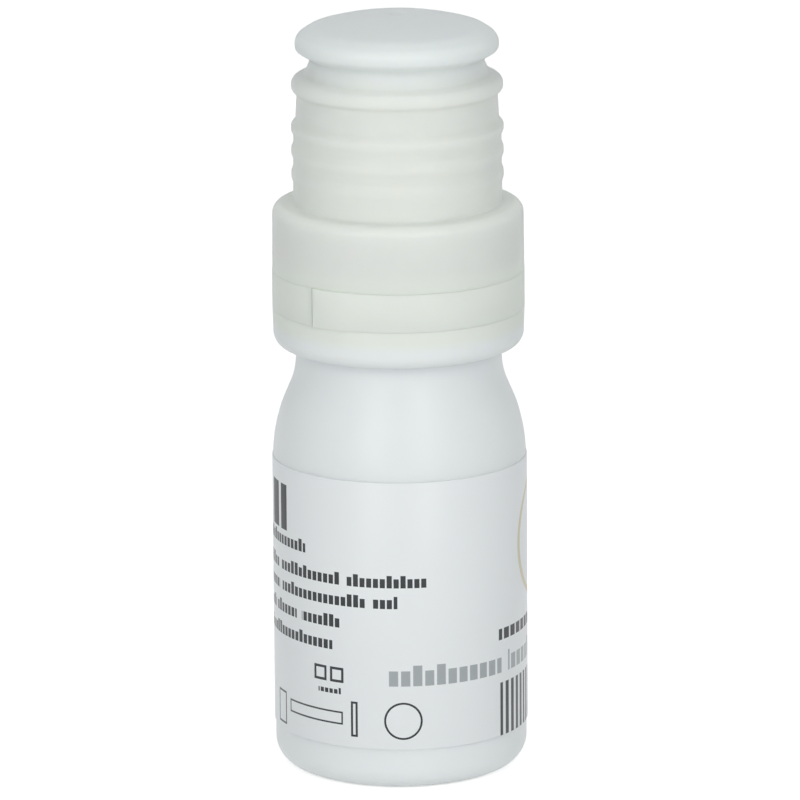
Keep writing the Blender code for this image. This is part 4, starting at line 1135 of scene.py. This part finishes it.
class MakeBase(bpy.types.Operator):
    """Dispenser base: flange, plug, filter pocket, ports, vents, well and tower"""

    bl_idname = "drop_bottle.base"
    bl_label = "Dispenser base"

    def execute(self, context):
        s = context.scene.base_sizes
        nozzle = context.scene.nozzle_sizes
        pocket_inner = nozzle.vent_ring - s.pocket_width / 2
        pocket_outer = nozzle.vent_ring + s.pocket_width / 2
        corners = [
            (0, s.well_bottom), (s.tower_radius, s.well_bottom, EASY), (s.tower_radius, s.underside, CRISP),
            (s.plug_bore, s.underside, EASY), (s.plug_bore, s.plug_foot, EASY),
            (s.plug_radius, s.plug_foot, FULL), (s.plug_radius, s.underside, CRISP),
            (s.flange_radius, s.underside, CRISP), (s.flange_radius, s.top, CRISP), (pocket_outer, s.top),
            (pocket_outer, s.top - s.pocket_depth), (pocket_inner, s.top - s.pocket_depth),
            (pocket_inner, s.top), (s.tower_radius, s.top, EASY), (s.tower_radius, s.tower_top, EASY),
            (s.tower_bore, s.tower_top, EASY), (s.tower_bore, s.well_floor, EASY), (0, s.well_floor),
        ]
        base = turned("dispenser_core", corners, SMALL_SIDES)
        low, high = s.underside - OVERRUN, s.top + OVERRUN
        combine(base, pegs(s.port_radius, low, high, s.port_ring, s.ports))
        combine(base, pegs(nozzle.vent_radius, low, high, nozzle.vent_ring, nozzle.vents))
        finish = milky_plastic("natural_base_polypropylene", tuple(s.plastic), clarity=0.12)
        dress(base, finish, "bottle_body", "dispenser_base")
        return {"FINISHED"}


class MakeRings(bpy.types.Operator):
    """Gasket on the mouth, membrane ring over the vents, and flow restrictor under the ports"""

    bl_idname = "drop_bottle.rings"
    bl_label = "Gasket, filter and restrictor"

    def execute(self, context):
        s = context.scene.ring_sizes
        self.make_gasket(s)
        self.make_filter(s, context.scene.nozzle_sizes.vent_ring)
        self.make_restrictor(s)
        return {"FINISHED"}

    def make_gasket(self, s):
        """Gasket with a groove round its upper face."""
        low, high = foot_of("neck_gasket"), top_of("neck_gasket")
        middle = (s.gasket_inner + s.gasket_outer) / 2
        half_groove, groove_depth = 0.00022, 0.00012
        corners = [
            (s.gasket_inner, low, FINE), (s.gasket_outer, low, FINE), (s.gasket_outer, high, FINE),
            (middle + half_groove, high, SHEET), (middle, high - groove_depth, groove_depth),
            (middle - half_groove, high, SHEET), (s.gasket_inner, high, FINE),
        ]
        gasket = turned("mouth_gasket", corners, SMALL_SIDES)
        finish = rubber("moulded_gasket_rubber", tuple(s.rubber), clarity=0.0, roughness=0.66)
        dress(gasket, finish, "bottle_body", "neck_gasket")

    def make_filter(self, s, middle):
        """Membrane ring over the vent holes."""
        low, high = foot_of("vent_filter"), top_of("vent_filter")
        inner, outer = middle - s.filter_width / 2, middle + s.filter_width / 2
        corners = [(inner, low, SHEET), (outer, low, SHEET), (outer, high, CRISP), (inner, high, CRISP)]
        ring = turned("membrane_ring", corners, SMALL_SIDES)
        dress(ring, membrane(tuple(s.membrane)), "bottle_body", "vent_filter")

    def make_restrictor(self, s):
        """Grooved ring with a notch on four sides."""
        low, high = foot_of("flow_restrictor"), top_of("flow_restrictor")
        rim_width, rim_round, notches = 0.0002, 0.00005, 4
        outer = s.restrictor_inner + s.restrictor_width
        groove_inner = s.restrictor_inner + rim_width
        groove_outer = groove_inner + s.groove_width
        floor = high - s.groove_depth
        corners = [
            (s.restrictor_inner, low, CRISP), (outer, low, CRISP), (outer, high, CRISP),
            (groove_outer, high, rim_round), (groove_outer, floor, CRISP), (groove_inner, floor, CRISP),
            (groove_inner, high, rim_round), (s.restrictor_inner, high),
        ]
        restrictor = turned("restrictor_ring", corners, SMALL_SIDES)
        reach = (groove_outer - OVERRUN, outer + OVERRUN, floor, high + OVERRUN)
        combine(restrictor, blocks(s.notch_width, *reach, notches, math.radians(45)))
        finish = dense_plastic("white_restrictor_polyethylene", tuple(s.plastic), roughness=0.46)
        dress(restrictor, finish, "bottle_body", "flow_restrictor")


class MakeValve(bpy.types.Operator):
    """Sliding pin with its lip seal, and the spring that closes it"""

    bl_idname = "drop_bottle.valve"
    bl_label = "Valve"

    def execute(self, context):
        s = context.scene.valve_sizes
        self.make_pin(s)
        self.make_seal(s)
        self.make_spring(s)
        return {"FINISHED"}

    def make_pin(self, s):
        """Pin with its spigot, piston, stem, fluted guide and point."""
        foot, top = foot_of("valve_pin"), top_of("valve_pin")
        play = 0.0001
        seat = s.piston_foot + s.flange
        top_flange = seat + s.seal_height + play
        piston_top = top_flange + s.flange
        flutes, flute_width = 3, 0.0009
        corners = [
            (0, foot), (s.spigot_radius, foot, EASY), (s.spigot_radius, s.piston_foot, CRISP),
            (s.piston_radius, s.piston_foot, CRISP), (s.piston_radius, seat, CRISP),
            (s.core_radius, seat, CRISP), (s.core_radius, top_flange, CRISP),
            (s.piston_top_radius, top_flange, CRISP), (s.piston_top_radius, piston_top, CRISP),
            (s.stem_radius, piston_top, EASY), (s.stem_radius, s.guide_foot, CRISP),
            (s.guide_radius, s.guide_foot, CRISP), (s.guide_radius, s.guide_top, CRISP),
            (s.stem_radius, s.guide_top, CRISP), (s.stem_radius, s.stem_top, CRISP),
            (s.point_radius, top, CRISP), (0, top),
        ]
        pin = turned("slide_pin", corners, SMALL_SIDES)
        reach = (s.stem_radius, s.guide_radius + OVERRUN, s.guide_foot - OVERRUN, s.guide_top + OVERRUN)
        combine(pin, blocks(flute_width, *reach, flutes, math.radians(90)))
        finish = dense_plastic("white_acetal", tuple(s.plastic), roughness=0.34)
        dress(pin, finish, "valve", "valve_pin")

    def make_seal(self, s):
        """Lip seal on the piston's core."""
        foot, top = foot_of("pin_seal"), top_of("pin_seal")
        outer = radius_of("pin_seal")
        fit, lean, edge, lip = 0.00005, 0.00012, 0.00006, 0.00005
        half_groove, groove_depth = 0.00025, 0.0005
        inner = s.core_radius + fit
        middle = (inner + outer) / 2
        corners = [
            (inner, foot, edge), (outer - lean, foot, CRISP), (outer, top, CRISP),
            (middle + half_groove, top, lip), (middle, top - groove_depth, CRISP),
            (middle - half_groove, top, lip), (inner, top, edge),
        ]
        seal = turned("lip_seal", corners, SMALL_SIDES)
        finish = rubber("clear_silicone", tuple(s.rubber), clarity=0.45, roughness=0.38)
        dress(seal, finish, "valve", "pin_seal")

    def make_spring(self, s):
        """Spring with closed ends, drawn by carrying a disc of wire round and up step by step."""
        foot, top = foot_of("return_spring"), top_of("return_spring")
        lowest, highest = foot + s.wire_radius, top - s.wire_radius
        closed_gap, travel = 1.14, 0.0008
        closed_pitch = 2 * s.wire_radius * closed_gap
        open_pitch = (highest - lowest - 2 * closed_pitch) / (s.curls - 2)
        bpy.ops.object.select_all(action="DESELECT")
        bpy.ops.mesh.primitive_circle_add(
            vertices=WIRE_SIDES, radius=s.wire_radius, fill_type="NGON", location=(0, 0, 0),
            rotation=(math.pi / 2, 0, 0),
        )
        spring = named("return_coil")
        bpy.ops.object.transform_apply(location=True, rotation=True, scale=True)
        edit_all()
        bpy.ops.transform.translate(value=(s.spring_radius, 0, lowest))
        for step in range(s.curls * COIL_STEPS):
            curl = step / COIL_STEPS
            pitch = closed_pitch if curl < 1 or curl >= s.curls - 1 else open_pitch
            bpy.ops.mesh.extrude_region()
            bpy.ops.transform.rotate(
                value=-math.tau / COIL_STEPS, orient_axis="Z", orient_type="GLOBAL", center_override=(0, 0, 0)
            )
            bpy.ops.transform.translate(value=(0, 0, pitch / COIL_STEPS))
        bpy.ops.mesh.select_all(action="SELECT")
        bpy.ops.mesh.normals_make_consistent(inside=False)
        bpy.ops.object.mode_set(mode="OBJECT")
        dress(spring, drawn_steel(tuple(s.steel)), "bottle_body", "return_spring")
        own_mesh(spring)


# Floor and sensor, and the linear tints of the cool surroundings and the warm lamps
FLOOR_SIDE = 12
FLOOR_GAP = 0.00002
SENSOR_WIDTH = 36
ROOM_TINT = (0.94, 0.98, 1.0)
LAMP_TINT = (1.0, 0.995, 0.97)


class MakeStudio(bpy.types.Operator):
    """Pale floor and surroundings, a soft lamp on each side of the camera, one overhead, and the camera"""

    bl_idname = "drop_bottle.studio"
    bl_label = "Studio"

    def execute(self, context):
        s = context.scene.studio_sizes
        self.lay_floor(s)
        self.surround(context.scene, s)
        self.hang_lamps(s)
        self.place_camera(context.scene, s)
        context.scene.view_settings.view_transform = "Standard"
        return {"FINISHED"}

    def lay_floor(self, s):
        """Wide floor that shows white to the camera and keeps the shadow."""
        bpy.ops.mesh.primitive_plane_add(size=FLOOR_SIDE, location=(0, 0, -FLOOR_GAP))
        floor = named("studio_floor")
        material, tree, shader, place = new_finish("matt_studio_paper")
        feed(tree, shader, {
            "Base Color": mottled(tree, place, tuple(s.floor), darker=0.01, millimetres=40),
            "Roughness": 0.9,
            "Specular IOR Level": 0.1,
            "Emission Color": (1, 1, 1, 1),
            "Emission Strength": merged(tree, [seen_directly(tree), s.glow]),
        })
        floor.data.materials.append(material)

    def surround(self, scene, s):
        """Even pale surroundings, which look white and light the bottle more softly."""
        world = bpy.data.worlds.new("even_white_room")
        world.use_nodes = True
        tree = world.node_tree
        seen = seen_directly(tree)
        colours = {"Factor": seen, "A": (*ROOM_TINT, 1.0), "B": (1.0, 1.0, 1.0, 1.0)}
        feed(tree, tree.nodes["Background"], {
            "Color": add_node(tree, "Mix", colours, data_type="RGBA"),
            "Strength": add_node(tree, "Math", (seen, 1.0 - s.sky, s.sky), operation="MULTIPLY_ADD"),
        })
        scene.world = world

    def hang_lamps(self, s):
        """One soft lamp on each side of the camera, and one overhead."""
        across = s.lamp_reach * math.sin(s.lamp_turn)
        back = -s.lamp_reach * math.cos(s.lamp_turn)
        side = (s.lamp_width, s.lamp_length, s.lamp_power)
        top = (s.top_lamp_side, s.top_lamp_side, s.top_lamp_power)
        lamps = (
            ("left_lamp", (-across, back, s.lamp_height), *side),
            ("right_lamp", (across, back, s.lamp_height), *side),
            ("top_lamp", (0, -s.top_lamp_reach, s.top_lamp_height), *top),
        )
        for name, place, wide, tall, power in lamps:
            bpy.ops.object.light_add(type="AREA", location=place)
            lamp = named(name)
            aim = Vector((0, 0, s.lamp_aim)) - Vector(place)
            lamp.rotation_euler = aim.to_track_quat("-Z", "Y").to_euler()
            lamp.data.shape = "RECTANGLE"
            lamp.data.size = wide
            lamp.data.size_y = tall
            lamp.data.energy = power
            lamp.data.color = LAMP_TINT

    def place_camera(self, scene, s):
        """Camera in front, looking down, at the photograph's angle."""
        bpy.ops.object.camera_add(location=(s.camera_offset, -s.camera_distance, s.camera_height))
        camera = named("studio_camera")
        tilt = Matrix.Rotation(math.pi / 2 - s.camera_pitch, 3, "X")
        lean = Matrix.Rotation(s.camera_roll, 3, "Z")
        camera.rotation_euler = (tilt @ lean).to_euler()
        camera.data.sensor_width = SENSOR_WIDTH
        camera.data.lens = s.focal_length
        scene.camera = camera


class DROPBOTTLE_PT_pieces(bpy.types.Panel):
    """Buttons that make the pieces, each over its sizes and colours"""

    bl_label = "Eye drop bottle"
    bl_space_type = "VIEW_3D"
    bl_region_type = "UI"
    bl_category = "Drop bottle"

    def draw(self, context):
        for operator, (settings, group) in zip(OPERATORS, SETTINGS.items()):
            box = self.layout.box()
            box.operator(operator.bl_idname)
            for name in group.__annotations__:
                box.prop(getattr(context.scene, settings), name)


SETTINGS = {
    "bottle_sizes": BottleSizes,
    "label_sizes": LabelSizes,
    "ring_sizes": RingSizes,
    "base_sizes": BaseSizes,
    "nozzle_sizes": NozzleSizes,
    "valve_sizes": ValveSizes,
    "collar_sizes": CollarSizes,
    "band_sizes": BandSizes,
    "cap_sizes": CapSizes,
    "studio_sizes": StudioSizes,
}
OPERATORS = (
    MakeBottle, MakeLabel, MakeRings, MakeBase, MakeNozzle,
    MakeValve, MakeCollar, MakeBand, MakeCap, MakeStudio,
)


def register():
    for item in (*SETTINGS.values(), *OPERATORS, DROPBOTTLE_PT_pieces):
        bpy.utils.register_class(item)
    for name, group in SETTINGS.items():
        setattr(bpy.types.Scene, name, PointerProperty(type=group))


def unregister():
    for name in SETTINGS:
        delattr(bpy.types.Scene, name)
    for item in reversed((*SETTINGS.values(), *OPERATORS, DROPBOTTLE_PT_pieces)):
        bpy.utils.unregister_class(item)


def main():
    register()
    bpy.ops.drop_bottle.bottle()
    bpy.ops.drop_bottle.label()
    bpy.ops.drop_bottle.rings()
    bpy.ops.drop_bottle.base()
    bpy.ops.drop_bottle.nozzle()
    bpy.ops.drop_bottle.valve()
    bpy.ops.drop_bottle.collar()
    bpy.ops.drop_bottle.band()
    bpy.ops.drop_bottle.cap()
    bpy.ops.drop_bottle.studio()


if __name__ == "__main__":
    main()
